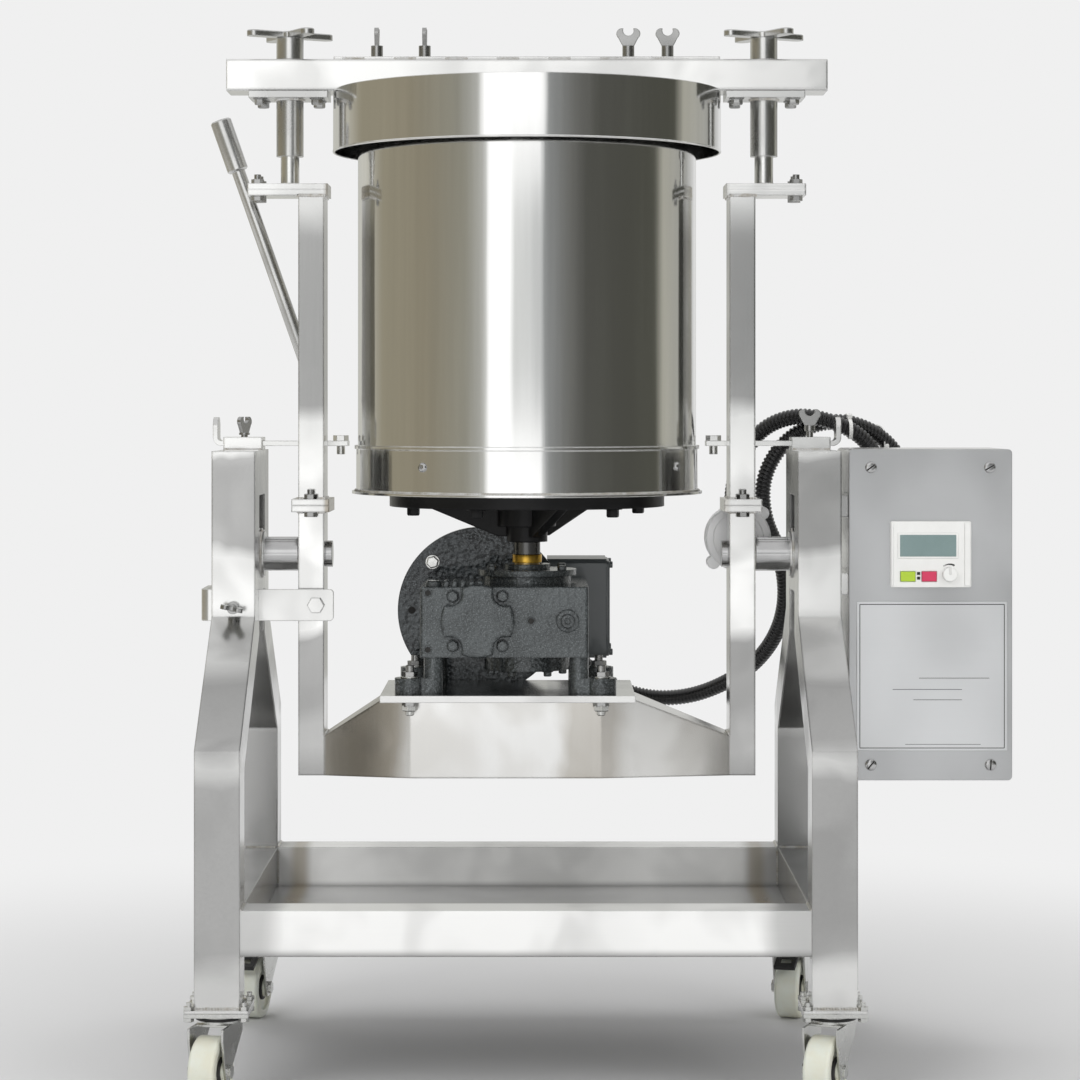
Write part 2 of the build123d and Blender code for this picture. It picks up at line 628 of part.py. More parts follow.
def brake_pedal():
    """Foot pedal on a cross pin in the fork, with a square window in its tread."""
    pin_y = -PEDAL_PIN_FORWARD
    half = PEDAL_WIDTH / 2
    sleeve = PEDAL_PIN_RADIUS * 2
    pedal = cross_rod(-half, half, 0, 0, sleeve)
    pedal += cross_rod(-FORK_OUTER, FORK_OUTER, 0, 0, PEDAL_PIN_RADIUS)
    pedal += block((-half, half), (-PEDAL_LENGTH, 0), (0, PEDAL_THICK))
    window = PEDAL_WIDTH * 0.28
    middle = -PEDAL_LENGTH * 0.62
    pedal -= block((-window, window), (middle - window, middle + window), (0, PEDAL_THICK))
    return Pos(0, pin_y, PEDAL_PIN_Z) * Rot(PEDAL_SLOPE, 0, 0) * pedal


# Latches
def bent(bar, along, corner, thick):
    """Bar with its square bend rounded inside and outside, the bend running along an axis at the corner."""
    for place, radius in ((1, BAR_BEND), (0, BAR_BEND + thick)):
        bar = fillet(bar.edges().filter_by(along).sort_by_distance(corner)[place], radius)
    return bar


def latch_bar(side):
    """Flat slide bar behind an upright, with a stop pin at its inner end and a finger hook outside."""
    inner = side * (UPRIGHT_INNER - LATCH_REACH)
    outer = side * (STAND_OUTER + LATCH_TAIL)
    pin_x = inner + side * LATCH_WIDTH / 3
    y_pair = (LATCH_Y - LATCH_WIDTH / 2, LATCH_Y + LATCH_WIDTH / 2)
    bar = block((inner, outer), y_pair, (LATCH_BOTTOM, LATCH_TOP))
    hook = block((outer - side * LATCH_THICK, outer), y_pair, (LATCH_TOP, LATCH_TOP + LATCH_HOOK))
    bar += fillet(hook.edges().filter_by(Axis.X).sort_by(Axis.Z)[-2:], LATCH_WIDTH * 0.45)
    bar = bent(bar, Axis.Y, (outer, LATCH_Y, LATCH_BOTTOM), LATCH_THICK)
    bar += Pos(pin_x, LATCH_Y, LATCH_TOP) * hexagon(PIN_RADIUS * 3.2, PIN_RADIUS * 1.3)
    return bar + upright_rod(pin_x, LATCH_Y, LATCH_BOTTOM - PIN_RADIUS * 2, LATCH_BOTTOM, PIN_RADIUS)


def stop_bar():
    """Flat bar through the front leg, its tail bent back, with a hex stop screw that bears on the upright."""
    x_pair = (-(STAND_OUTER + STOP_TAIL), -(UPRIGHT_INNER - STOP_REACH))
    half = STOP_HEIGHT / 2
    z_pair = (STOP_Z - half, STOP_Z + half)
    edge = STOP_HEIGHT * 0.12
    bar = block(x_pair, (STOP_FRONT, STOP_BACK), z_pair)
    bar = fillet(bar.edges().filter_by(Axis.Y).sort_by(Axis.X)[-2:], edge)
    tab = block((x_pair[0], x_pair[0] + STOP_THICK), (STOP_FRONT, STOP_FRONT + STOP_TAB), z_pair)
    bar += fillet(tab.edges().filter_by(Axis.X).sort_by(Axis.Y)[-2:], edge)
    bar = bent(bar, Axis.Z, (x_pair[0], STOP_FRONT, STOP_Z), STOP_THICK)
    bar += depth_rod(STOP_PIN_X, STOP_BACK, -UPRIGHT_FACE - CLEAR, STOP_Z, PIN_RADIUS)
    head = Rot(90, 0, 0) * hexagon(PIN_RADIUS * 3.4, PIN_RADIUS * 1.3)
    return bar + Pos(STOP_PIN_X, STOP_FRONT, STOP_Z) * head


def latch_screw(length):
    """Wing screw standing on Z = 0, which is where its tip bears."""
    top = GUIDE_WALL + length
    shank = upright_rod(0, 0, CLEAR, top, LATCH_SCREW_RADIUS)
    collar = upright_rod(0, 0, top - length / 2, top, LATCH_SCREW_RADIUS * 1.6)
    return shank + collar + Pos(0, 0, top - WING_ROOT) * wing_plate(LATCH_WING_SPAN, WING_THICK)


def stop_screw():
    """Wing screw through the front leg, bearing on the stop bar."""
    reach = HEAD_FACE + STOP_FRONT
    shank = upright_rod(0, 0, CLEAR, reach + LATCH_SCREW_LENGTH, LATCH_SCREW_RADIUS)
    collar_top = reach + LATCH_SCREW_LENGTH / 2
    collar = upright_rod(0, 0, reach + CLEAR, collar_top, LATCH_SCREW_RADIUS * 1.8)
    wings = Rot(0, 0, STOP_SCREW_TURN) * wing_plate(LATCH_WING_SPAN, WING_THICK)
    wings = Pos(0, 0, collar_top - WING_ROOT) * wings
    return Pos(-STAND_X, STOP_FRONT, STOP_Z) * Rot(90, 0, 0) * (shank + collar + wings)


# Control box
def control_box():
    """Sheet box open at the front, with two rails that hold it to the right side frame."""
    outer = block((BOX_LEFT, BOX_RIGHT), BOX_Y, BOX_Z)
    outer = fillet(outer.edges().filter_by(Axis.Y), BOX_EDGE)
    inner_x = (BOX_LEFT + BOX_WALL, BOX_RIGHT - BOX_WALL)
    inner_z = (BOX_Z[0] + BOX_WALL, BOX_Z[1] - BOX_WALL)
    inner = block(inner_x, (BOX_Y[0], BOX_Y[1] - BOX_WALL), inner_z)
    shell = outer - fillet(inner.edges().filter_by(Axis.Y), BOX_EDGE - BOX_WALL)
    for rise in BRACKET_RISES:
        low = AXIS_Z + rise
        shell += block((STAND_OUTER, BOX_LEFT), BRACKET_Y, (low, low + BRACKET_HEIGHT))
    for gland in gland_places():
        shell -= gland * Cylinder(GLAND_RADIUS * 0.7, 4 * BOX_WALL)
    return shell


def gland_places():
    """Places on the back of the box where cables enter: the supply low down, two conduits above."""
    entries = [(BOX_RIGHT - GLAND_X_FROM_EDGE, BOX_Z[0] + GLAND_RISE)]
    entries += [(route[-1][0], route[-1][2]) for route in (MOTOR_CONDUIT_ROUTE, JUNCTION_CONDUIT_ROUTE)]
    return [Pos(x, BOX_Y[1], z) * Rot(-90, 0, 0) for x, z in entries]


def gland_body():
    """Hex body and dome nut of a cable gland, standing on Z = 0."""
    dome = upright_rod(0, 0, 0, GLAND_LENGTH, GLAND_RADIUS * 0.86)
    return hexagon(GLAND_RADIUS * 2, GLAND_LENGTH * 0.4) + dome


def gland(bore_radius):
    """Cable gland on Z = 0 with a threaded shank inside the wall and a bore for its cable."""
    body = gland_body() + upright_rod(0, 0, -3 * BOX_WALL, 0, GLAND_RADIUS * 0.7)
    return body - upright_rod(0, 0, -3 * BOX_WALL, GLAND_LENGTH, bore_radius)


def control_panel():
    """Front plate of the control box with the keypad's window."""
    panel = block((BOX_LEFT, BOX_RIGHT), (PANEL_FACE, BOX_Y[0]), BOX_Z)
    panel = fillet(panel.edges().filter_by(Axis.Y), BOX_EDGE)
    return panel - keypad_body(2 * CLEAR, PANEL_FACE, BOX_Y[0])


def keypad_body(margin, y_low, y_high):
    """The part of the keypad that passes through the panel, grown by a margin."""
    half_x = KEYPAD_SIZE[0] / 2 - KEYPAD_LIP + margin
    half_z = KEYPAD_SIZE[1] / 2 - KEYPAD_LIP + margin
    x_pair = (KEYPAD_X - half_x, KEYPAD_X + half_x)
    return block(x_pair, (y_low, y_high), (KEYPAD_CENTRE_Z - half_z, KEYPAD_CENTRE_Z + half_z))


def button(offset, margin, y_low, y_high):
    """Rectangular push button on the keypad, or its pocket when grown by a margin."""
    x = KEYPAD_X + offset
    z = KEYPAD_CENTRE_Z - BUTTON_DROP
    half_x = BUTTON_SIZE[0] / 2 + margin
    half_z = BUTTON_SIZE[1] / 2 + margin
    return block((x - half_x, x + half_x), (y_low, y_high), (z - half_z, z + half_z))


def push_button(offset):
    """Button standing proud of the keypad, with its travel left free below it."""
    back = KEYPAD_FACE + KEYPAD_THICK / 2
    cap = button(offset, 0, KEYPAD_FACE - BUTTON_PROUD, back)
    return fillet(cap.edges().group_by(Axis.Y)[0], BUTTON_PROUD / 2)


def keypad():
    """Operator module: front bezel with button pockets and knob bore, body behind the panel."""
    half_x = KEYPAD_SIZE[0] / 2
    z_pair = (KEYPAD_CENTRE_Z - KEYPAD_SIZE[1] / 2, KEYPAD_CENTRE_Z + KEYPAD_SIZE[1] / 2)
    bezel = block((KEYPAD_X - half_x, KEYPAD_X + half_x), (KEYPAD_FACE, PANEL_FACE), z_pair)
    bezel = fillet(bezel.edges().filter_by(Axis.Y), KEYPAD_LIP / 2)
    module = bezel + keypad_body(0, PANEL_FACE, PANEL_FACE + KEYPAD_BODY_DEPTH)
    floor = KEYPAD_FACE + KEYPAD_THICK / 2 + BUTTON_TRAVEL + CLEAR
    for offset in BUTTON_OFFSETS:
        module -= button(offset, CLEAR, KEYPAD_FACE, floor)
    knob_x = KEYPAD_X + KNOB_OFFSET
    knob_z = KEYPAD_CENTRE_Z - KNOB_DROP
    return module - depth_rod(knob_x, KEYPAD_FACE, PANEL_FACE, knob_z, KNOB_STEM_RADIUS + RUNNING)


def speed_knob():
    """Round knob with a grip flat, on a stem in the keypad."""
    x = KEYPAD_X + KNOB_OFFSET
    z = KEYPAD_CENTRE_Z - KNOB_DROP
    front = KEYPAD_FACE - CLEAR - KNOB_THICK
    cap = depth_rod(x, front, KEYPAD_FACE - CLEAR, z, KNOB_RADIUS)
    cap = fillet(cap.edges().group_by(Axis.Y)[0], KNOB_THICK * 0.2)
    mark_x = (x - KNOB_MARK, x + KNOB_MARK)
    cap -= block(mark_x, (front, front + KNOB_MARK), (z, z + KNOB_RADIUS))
    return cap + depth_rod(x, KEYPAD_FACE - CLEAR, PANEL_FACE - CLEAR, z, KNOB_STEM_RADIUS)


# Cradle
def upright_tube(side, z_low, z_high):
    """Rectangular tube of an upright, open at both ends."""
    x = side * UPRIGHT_X
    half = UPRIGHT_WIDTH / 2
    hollow = half - UPRIGHT_WALL
    depth = UPRIGHT_FACE - UPRIGHT_WALL
    outer = block((x - half, x + half), (-UPRIGHT_FACE, UPRIGHT_FACE), (z_low, z_high))
    return outer - block((x - hollow, x + hollow), (-depth, depth), (z_low, z_high))


def splice_plate(side, z_low):
    """Flange plate round an upright at the splice, drilled for its bolts."""
    x = side * UPRIGHT_X
    half = UPRIGHT_WIDTH / 2 + SPLICE_MARGIN[0]
    depth = UPRIGHT_FACE + SPLICE_MARGIN[1]
    plate = block((x - half, x + half), (-depth, depth), (z_low, z_low + SPLICE_PLATE))
    for bolt_x, bolt_y in splice_bolt_places(side):
        plate -= upright_rod(bolt_x, bolt_y, z_low, z_low + SPLICE_PLATE, SPLICE_BOLT_RADIUS)
    return plate


def splice_bolt_places(side):
    """Centres of the two bolts of a splice, in front of and behind the upright."""
    y = UPRIGHT_FACE + SPLICE_MARGIN[1] * 0.52
    return [(side * UPRIGHT_X, -y), (side * UPRIGHT_X, y)]


def beam_solid(inset):
    """Cross beam with sloping shoulders, deeper in the middle; the inset gives its hollow."""
    low = CRADLE_BOTTOM
    top = CRADLE_BOTTOM + BEAM_HEIGHT - inset
    shoulder = CRADLE_BOTTOM + BEAM_END_HEIGHT - inset
    front = [
        (-UPRIGHT_INNER, low), (UPRIGHT_INNER, low), (UPRIGHT_INNER, shoulder),
        (BEAM_TOP_X[1], top), (BEAM_TOP_X[0], top), (-UPRIGHT_INNER, shoulder),
    ]
    end_depth = UPRIGHT_FACE - inset
    mid_depth = BEAM_MID_DEPTH / 2 - inset
    plan = [
        (-UPRIGHT_INNER, -end_depth), (BEAM_MID_X[0], -mid_depth), (BEAM_MID_X[1], -mid_depth),
        (UPRIGHT_INNER, -end_depth), (UPRIGHT_INNER, end_depth), (BEAM_MID_X[1], mid_depth),
        (BEAM_MID_X[0], mid_depth), (-UPRIGHT_INNER, end_depth),
    ]
    return prism(Plane.XZ, front, -BEAM_MID_DEPTH, BEAM_MID_DEPTH) & prism(Plane.XY, plan, low, top)


def lower_frame():
    """Lower uprights, folded cross beam and lower splice plates, welded into one frame."""
    frame = beam_solid(0) - beam_solid(UPRIGHT_WALL)
    for side in (-1, 1):
        frame += upright_tube(side, CRADLE_BOTTOM, SPLICE_Z - SPLICE_PLATE)
        frame += splice_plate(side, SPLICE_Z - SPLICE_PLATE)
        frame -= cross_rod(side * UPRIGHT_INNER, side * UPRIGHT_OUTER, 0, AXIS_Z, STUD_RADIUS)
    return frame


def arm_plate(side, z_low):
    """Plate on top of an upright that reaches out past the column, drilled for its bolts."""
    inner = side * (UPRIGHT_INNER - ARM_OVERHANG)
    x_pair = (inner, inner + side * ARM_LENGTH)
    plate = block(x_pair, (-UPRIGHT_FACE, UPRIGHT_FACE), (z_low, z_low + ARM_PLATE))
    for bolt_x, bolt_y in arm_bolt_places(side):
        plate -= upright_rod(bolt_x, bolt_y, z_low, z_low + ARM_PLATE, ARM_BOLT_RADIUS)
    return plate


def arm_bolt_places(side):
    """Centres of the two bolts at the outer end of an arm."""
    x = side * (UPRIGHT_INNER - ARM_OVERHANG + ARM_LENGTH - ARM_BOLT_RADIUS * 2.6)
    return [(x, -UPRIGHT_FACE / 2), (x, UPRIGHT_FACE / 2)]


def upper_upright(side):
    """Upper upright with its splice plate and its half of the top arm."""
    body = upright_tube(side, SPLICE_Z + SPLICE_PLATE, UPRIGHT_TOP)
    return body + splice_plate(side, SPLICE_Z) + arm_plate(side, UPRIGHT_TOP)


def column_rod(side):
    """Round guide column of the bridge on the upper plate of the arm."""
    rod = upright_rod(side * COLUMN_X, 0, ARM_TOP, BRIDGE_TOP - BRIDGE_WALL, COLUMN_RADIUS)
    return rod + arm_plate(side, ARM_TOP - ARM_PLATE)


def trunnion(side):
    """Tilt shaft between upright and bearing, with a stud through the upright and its end nut."""
    shaft = cross_rod(side * UPRIGHT_OUTER, side * (STAND_OUTER - TUBE_WALL), 0, AXIS_Z, TRUNNION_RADIUS)
    shaft += cross_rod(side * UPRIGHT_INNER, side * UPRIGHT_OUTER, 0, AXIS_Z, STUD_RADIUS)
    nut_end = side * (UPRIGHT_INNER - END_NUT_THICK)
    return shaft + cross_rod(nut_end, side * UPRIGHT_INNER, 0, AXIS_Z, END_NUT_RADIUS)


def tilt_lever():
    """Leaning hand lever with a thicker grip, on a block behind the left upright."""
    base_z = AXIS_Z + LEVER_START_RISE
    y = UPRIGHT_FACE + LEVER_STANDOFF
    foot_half = UPRIGHT_WIDTH / 3
    foot_x = (-UPRIGHT_X - foot_half, -UPRIGHT_X + foot_half)
    foot = block(foot_x, (UPRIGHT_FACE, y), (base_z - LEVER_FOOT / 4, base_z + LEVER_FOOT))
    grip = upright_rod(0, 0, LEVER_LENGTH, LEVER_LENGTH + GRIP_LENGTH, GRIP_RADIUS)
    grip = chamfer(grip.edges().filter_by(GeomType.CIRCLE), GRIP_RADIUS * 0.15)
    lever = upright_rod(0, 0, -LEVER_FOOT / 4, LEVER_LENGTH, LEVER_RADIUS) + grip
    return foot + Pos(-UPRIGHT_X, y, base_z) * Rot(0, -LEVER_LEAN, 0) * lever


def motor_plate():
    """Flat plate on the cross beam that carries the gear unit, drilled for the foot bolts."""
    z_pair = (PLATE_TOP - MOTOR_PLATE_THICK, PLATE_TOP)
    plate = block(MOTOR_PLATE_X, MOTOR_PLATE_Y, z_pair)
    for x, y in foot_bolt_places():
        plate -= upright_rod(x, y, *z_pair, FOOT_BOLT_RADIUS)
    return plate


def foot_bolt_places():
    """Centres of the four foot bolts of the gear unit."""
    return [(x, y) for x in FOOT_BOLT_X for y in FOOT_Y]


def cradle_bolts():
    """Bolts with nuts of the splices, the arms and the gear unit's feet."""
    bolts = []
    for side in (-1, 1):
        splice = (SPLICE_Z - SPLICE_PLATE, SPLICE_Z + SPLICE_PLATE, SPLICE_BOLT_RADIUS)
        bolts += [hex_bolt(*place, *splice) for place in splice_bolt_places(side)]
        arm = (UPRIGHT_TOP, ARM_TOP, ARM_BOLT_RADIUS)
        bolts += [hex_bolt(*place, *arm) for place in arm_bolt_places(side)]
    feet = (PLATE_TOP - MOTOR_PLATE_THICK, PLATE_TOP + FOOT_THICK, FOOT_BOLT_RADIUS)
    return bolts + [hex_bolt(*place, *feet) for place in foot_bolt_places()]


# Gear unit and motor
def gearbox_housing():
    """Cast worm gear housing on four feet, hollow for the worm and its wheel."""
    body = block(HOUSING_X, HOUSING_Y, (HOUSING_BOTTOM, HOUSING_TOP))
    body = fillet(body.edges().filter_by(Axis.Z), HOUSING_EDGE)
    body = fillet(body.edges().group_by(Axis.Z)[-1], HOUSING_EDGE / 2)
    low = HOUSING_TOP
    for radius, height in OUTPUT_STEPS:
        body += upright_rod(0, 0, low, low + height, radius)
        low += height
    for bolt_x, post_x in zip(FOOT_BOLT_X, FOOT_POST_X):
        for y in FOOT_Y:
            body += gearbox_foot(bolt_x, post_x, y)
    chamber = WHEEL_FACE / 2 + CAVITY_GAP
    body -= upright_rod(0, 0, WORM_Z - chamber, WORM_Z + chamber, WORM_WHEEL_RADIUS + CAVITY_GAP)
    body -= depth_rod(WORM_X, *HOUSING_Y, WORM_Z, WORM_RADIUS + CAVITY_GAP)
    body -= upright_rod(0, 0, HOUSING_BOTTOM, WORM_Z, WORM_WHEEL_RADIUS)
    return body - upright_rod(0, 0, WORM_Z, OUTPUT_TOP, OUTPUT_RADIUS + RUNNING)


def gearbox_foot(bolt_x, post_x, y):
    """Foot of the gear housing: a lobe round its bolt, a round post up to the housing and a web between."""
    neck_x = sorted((bolt_x, post_x))
    pad_z = (PLATE_TOP, PLATE_TOP + FOOT_THICK)
    foot = upright_rod(bolt_x, y, *pad_z, FOOT_LOBE_RADIUS)
    foot += block(neck_x, (y - FOOT_POST_RADIUS, y + FOOT_POST_RADIUS), pad_z)
    foot += upright_rod(post_x, y, PLATE_TOP, HOUSING_BOTTOM + HOUSING_SKIRT, FOOT_POST_RADIUS)
    return foot - upright_rod(bolt_x, y, *pad_z, FOOT_BOLT_RADIUS)


def worm_cover():
    """Round front cover of the worm bore with cut corners for its bolts and the worm's bearing."""
    plate = Circle(COVER_RADIUS)
    middle = (COVER_ARM + COVER_RADIUS) / 2
    for x in (-middle, middle):
        for y in (-middle, middle):
            plate -= Pos(x, y) * RectangleRounded(COVER_RADIUS, COVER_RADIUS, COVER_CUT_RADIUS)
    cover = extrude(plate, COVER_THICK, dir=(0, 0, 1))
    cover = fillet(cover.edges().group_by(Axis.Z)[-1], COVER_EDGE)
    cover -= upright_rod(0, 0, 0, COVER_THICK / 2, WORM_SHAFT_RADIUS + RUNNING)
    return Pos(WORM_X, HOUSING_Y[0], WORM_Z) * Rot(90, 0, 0) * cover


def base_cover():
    """Round cover under the wheel chamber."""
    low = HOUSING_BOTTOM - BASE_COVER_THICK
    return upright_rod(0, 0, low, HOUSING_BOTTOM, BASE_COVER_RADIUS)


def worm_wheel():
    """Worm wheel on the upright output shaft that carries the drum."""
    half = WHEEL_FACE / 2
    shaft = upright_rod(0, 0, HOUSING_BOTTOM + CLEAR, DRUM_BOTTOM, OUTPUT_RADIUS)
    return shaft + upright_rod(0, 0, WORM_Z - half, WORM_Z + half, WORM_WHEEL_RADIUS)


def worm_shaft():
    """Worm on the motor shaft, with the rotor core and the fan as pieces of their own."""
    front = HOUSING_Y[0] - COVER_THICK / 2 + CLEAR
    fan_start = MOTOR_BACK + FAN_GAP
    fan_end = fan_start + FAN_WIDTH
    shaft = depth_rod(WORM_X, front, fan_end, WORM_Z, WORM_SHAFT_RADIUS)
    shaft += depth_rod(WORM_X, -WORM_LENGTH / 2, WORM_LENGTH / 2, WORM_Z, WORM_RADIUS)
    middle = (MOTOR_BODY_START + MOTOR_BACK) / 2
    rotor_y = (middle - ROTOR_LENGTH / 2, middle + ROTOR_LENGTH / 2)
    rotor = depth_rod(WORM_X, *rotor_y, WORM_Z, STATOR_BORE - ROTOR_GAP)
    rotor -= depth_rod(WORM_X, *rotor_y, WORM_Z, WORM_SHAFT_RADIUS)
    fan = depth_rod(WORM_X, fan_start, fan_end, WORM_Z, MOTOR_RADIUS - FAN_GAP)
    fan -= depth_rod(WORM_X, fan_start, fan_end, WORM_Z, WORM_SHAFT_RADIUS)
    return [shaft, rotor, fan]


def motor_frame():
    """Motor body with mounting flange and cooling fins, hollow for the rotor."""
    body = depth_rod(WORM_X, MOTOR_FRONT, MOTOR_BODY_START, WORM_Z, MOTOR_FLANGE_RADIUS)
    body += depth_rod(WORM_X, MOTOR_BODY_START, MOTOR_BACK, WORM_Z, MOTOR_RADIUS)
    length = MOTOR_BACK - MOTOR_BODY_START
    fin_x = MOTOR_RADIUS + (FIN_HEIGHT - FIN_ROOT) / 2
    fin = Pos(fin_x, 0, 0) * Box(FIN_HEIGHT + FIN_ROOT, length, FIN_THICK)
    place = Pos(WORM_X, MOTOR_BODY_START + length / 2, WORM_Z)
    terminal_angle = math.degrees(math.asin(TERMINAL_NECK / 2 / MOTOR_RADIUS)) + 360 / FIN_COUNT
    for step in range(FIN_COUNT):
        angle = step * 360 / FIN_COUNT - 180
        if abs(angle) > terminal_angle:
            body += place * Rot(0, angle, 0) * fin
    body -= depth_rod(WORM_X, MOTOR_BODY_START, MOTOR_BACK - SHIELD_THICK, WORM_Z, STATOR_BORE)
    return body - depth_rod(WORM_X, MOTOR_FRONT, MOTOR_BACK, WORM_Z, WORM_SHAFT_RADIUS + RUNNING)


def fan_cover():
    """Cup over the fan, held on the fin ends, with rows of slots in its back."""
    inner = MOTOR_RADIUS + FIN_HEIGHT + FAN_COVER_GAP
    outer = inner + FAN_COVER_WALL
    start = MOTOR_BACK - SHIELD_THICK
    end = MOTOR_BACK + FAN_COVER_LENGTH
    cup = depth_rod(WORM_X, start, end, WORM_Z, outer)
    cup -= depth_rod(WORM_X, start, end - FAN_COVER_WALL, WORM_Z, inner)
    for row in range(-FAN_SLOT_ROWS, FAN_SLOT_ROWS + 1):
        z = WORM_Z + row * FAN_SLOT_PITCH
        half = math.sqrt(inner ** 2 - (row * FAN_SLOT_PITCH) ** 2) * 0.82
        slot_z = (z - FAN_SLOT_PITCH / 4, z + FAN_SLOT_PITCH / 4)
        cup -= block((WORM_X - half, WORM_X + half), (end - FAN_COVER_WALL, end), slot_z)
    return cup


def terminal_box():
    """Box on the motor's right side, with a neck to the motor body, a lid rim and a conduit gland."""
    half = TERMINAL_NECK / 2
    middle = sum(TERMINAL_Y) / 2
    box_z = (WORM_Z - TERMINAL_HALF_HEIGHT, WORM_Z + TERMINAL_HALF_HEIGHT)
    box = block(TERMINAL_X, TERMINAL_Y, box_z)
    box = chamfer(box.edges().filter_by(Axis.X), TERMINAL_EDGE)
    neck_z = (WORM_Z - half, WORM_Z + half)
    neck = block((WORM_X, TERMINAL_X[0]), (middle - half, middle + half), neck_z)
    neck -= depth_rod(WORM_X, *TERMINAL_Y, WORM_Z, MOTOR_RADIUS)
    start = MOTOR_CONDUIT_ROUTE[0]
    outlet = Pos(start[0], TERMINAL_Y[1], start[2]) * Rot(-90, 0, 0)
    return box + neck + outlet * gland_body()


def junction_box():
    """Round box on a spacer behind the right upright, with two screw lugs and a conduit gland."""
    box = depth_rod(UPRIGHT_X, JUNCTION_FRONT, JUNCTION_BACK, JUNCTION_Z, JUNCTION_RADIUS)
    box = fillet(box.edges().group_by(Axis.Y)[-1], JUNCTION_RADIUS * 0.08)
    lug = JUNCTION_RADIUS * 0.2
    for angle in (45, 225):
        x = UPRIGHT_X + (JUNCTION_RADIUS + lug * 0.3) * math.cos(math.radians(angle))
        z = JUNCTION_Z + (JUNCTION_RADIUS + lug * 0.3) * math.sin(math.radians(angle))
        box += depth_rod(x, JUNCTION_FRONT, JUNCTION_BACK - lug, z, lug)
    half = UPRIGHT_WIDTH / 3
    spacer_z = (JUNCTION_Z - JUNCTION_RADIUS * 0.7, JUNCTION_Z + half)
    box += block((UPRIGHT_X - half, UPRIGHT_X + half), (UPRIGHT_FACE, JUNCTION_FRONT), spacer_z)
    start = JUNCTION_CONDUIT_ROUTE[0]
    return box + Pos(start[0], JUNCTION_BACK, start[2]) * Rot(-90, 0, 0) * gland_body()


# Drum
def drum_shell():
    """Drum with a flat floor, a turned-out foot and a thickened rim."""
    outer = DRUM_RADIUS
    inner = DRUM_RADIUS - DRUM_WALL
    lip = DRUM_BOTTOM + LIP_THICK
    rim = DRUM_TOP - 3 * DRUM_WALL
    floor = DRUM_BOTTOM + DRUM_FLOOR
    return turned([
        (0, DRUM_BOTTOM), (outer + FLARE, DRUM_BOTTOM), (outer + FLARE, lip), (outer, lip),
        (outer, rim), (outer + DRUM_WALL, rim), (outer + DRUM_WALL, DRUM_TOP), (inner, DRUM_TOP),
        (inner, floor), (0, floor),
    ])


def drum_band():
    """Band round the foot of the drum with a bead at its upper edge."""
    inner = DRUM_RADIUS
    outer = inner + BAND_THICK
    low = DRUM_BOTTOM + LIP_THICK
    top = DRUM_BOTTOM + BAND_HEIGHT
    bead = outer + BEAD_RADIUS
    shoulder = top - 2 * BEAD_RADIUS
    return turned([
        (inner, low), (outer, low), (outer, shoulder), (bead, shoulder), (bead, top), (inner, top),
    ])


def drum_hub():
    """Cast carrier under the drum: disc, collar and sleeve on the output shaft, stiffened by ribs."""
    disc_low = DRUM_BOTTOM - HUB_DISC_THICK
    collar_low = disc_low - HUB_COLLAR_HEIGHT
    foot = OUTPUT_TOP + HUB_SLEEVE_GAP
    hub = turned([
        (OUTPUT_RADIUS, foot), (HUB_SLEEVE_RADIUS, foot), (HUB_SLEEVE_RADIUS, collar_low),
        (HUB_COLLAR_RADIUS, collar_low), (HUB_COLLAR_RADIUS, disc_low), (HUB_DISC_RADIUS, disc_low),
        (HUB_DISC_RADIUS, DRUM_BOTTOM), (OUTPUT_RADIUS, DRUM_BOTTOM),
    ])
    rib_low = disc_low - HUB_RIB_DEPTH
    root = (OUTPUT_RADIUS + HUB_SLEEVE_RADIUS) / 2
    outline = [(root, disc_low), (HUB_RIB_REACH, disc_low), (HUB_COLLAR_RADIUS, rib_low), (root, rib_low)]
    rib = prism(Plane.XZ, outline, -HUB_RIB_THICK / 2, HUB_RIB_THICK / 2)
    for step in range(HUB_RIB_COUNT):
        hub += Rot(0, 0, HUB_RIB_BEARING + step * 360 / HUB_RIB_COUNT) * rib
    return hub


def base_stone():
    """Flat ring of stone on the drum floor, with a chamfered upper rim."""
    low = DRUM_BOTTOM + DRUM_FLOOR
    outer = DRUM_RADIUS - DRUM_WALL - STONE_GAP
    stone = upright_rod(0, 0, low, STONE_TOP, outer)
    stone = chamfer(stone.edges().group_by(Axis.Z)[-1], STONE_GAP)
    return stone - upright_rod(0, 0, low, STONE_TOP, STONE_BORE)


# Bridge
def bridge_beam():
    """Rectangular tube with closed ends over the drum, with bores for columns and wing bolts."""
    half = BRIDGE_DEPTH / 2
    beam_x = (-BRIDGE_HALF_LENGTH, BRIDGE_HALF_LENGTH)
    beam = block(beam_x, (-half, half), (BRIDGE_BOTTOM, BRIDGE_TOP))
    beam = fillet(beam.edges().filter_by(Axis.X), BRIDGE_WALL)
    hollow = half - BRIDGE_WALL
    hollow_x = BRIDGE_HALF_LENGTH - BRIDGE_WALL
    hollow_z = (BRIDGE_BOTTOM + BRIDGE_WALL, BRIDGE_TOP - BRIDGE_WALL)
    beam -= block((-hollow_x, hollow_x), (-hollow, hollow), hollow_z)
    strip_x = (-STRIP_HALF_LENGTH, STRIP_HALF_LENGTH)
    beam += block(strip_x, (-half + BRIDGE_WALL, half - BRIDGE_WALL), (BRIDGE_TOP, STRIP_TOP))
    for side in (-1, 1):
        beam -= upright_rod(side * COLUMN_X, 0, BRIDGE_BOTTOM, BRIDGE_TOP, COLUMN_RADIUS + RUNNING)
    for x in WING_BOLT_X:
        beam -= upright_rod(x, 0, BRIDGE_BOTTOM, STRIP_TOP, WING_THREAD_RADIUS + RUNNING)
    return beam


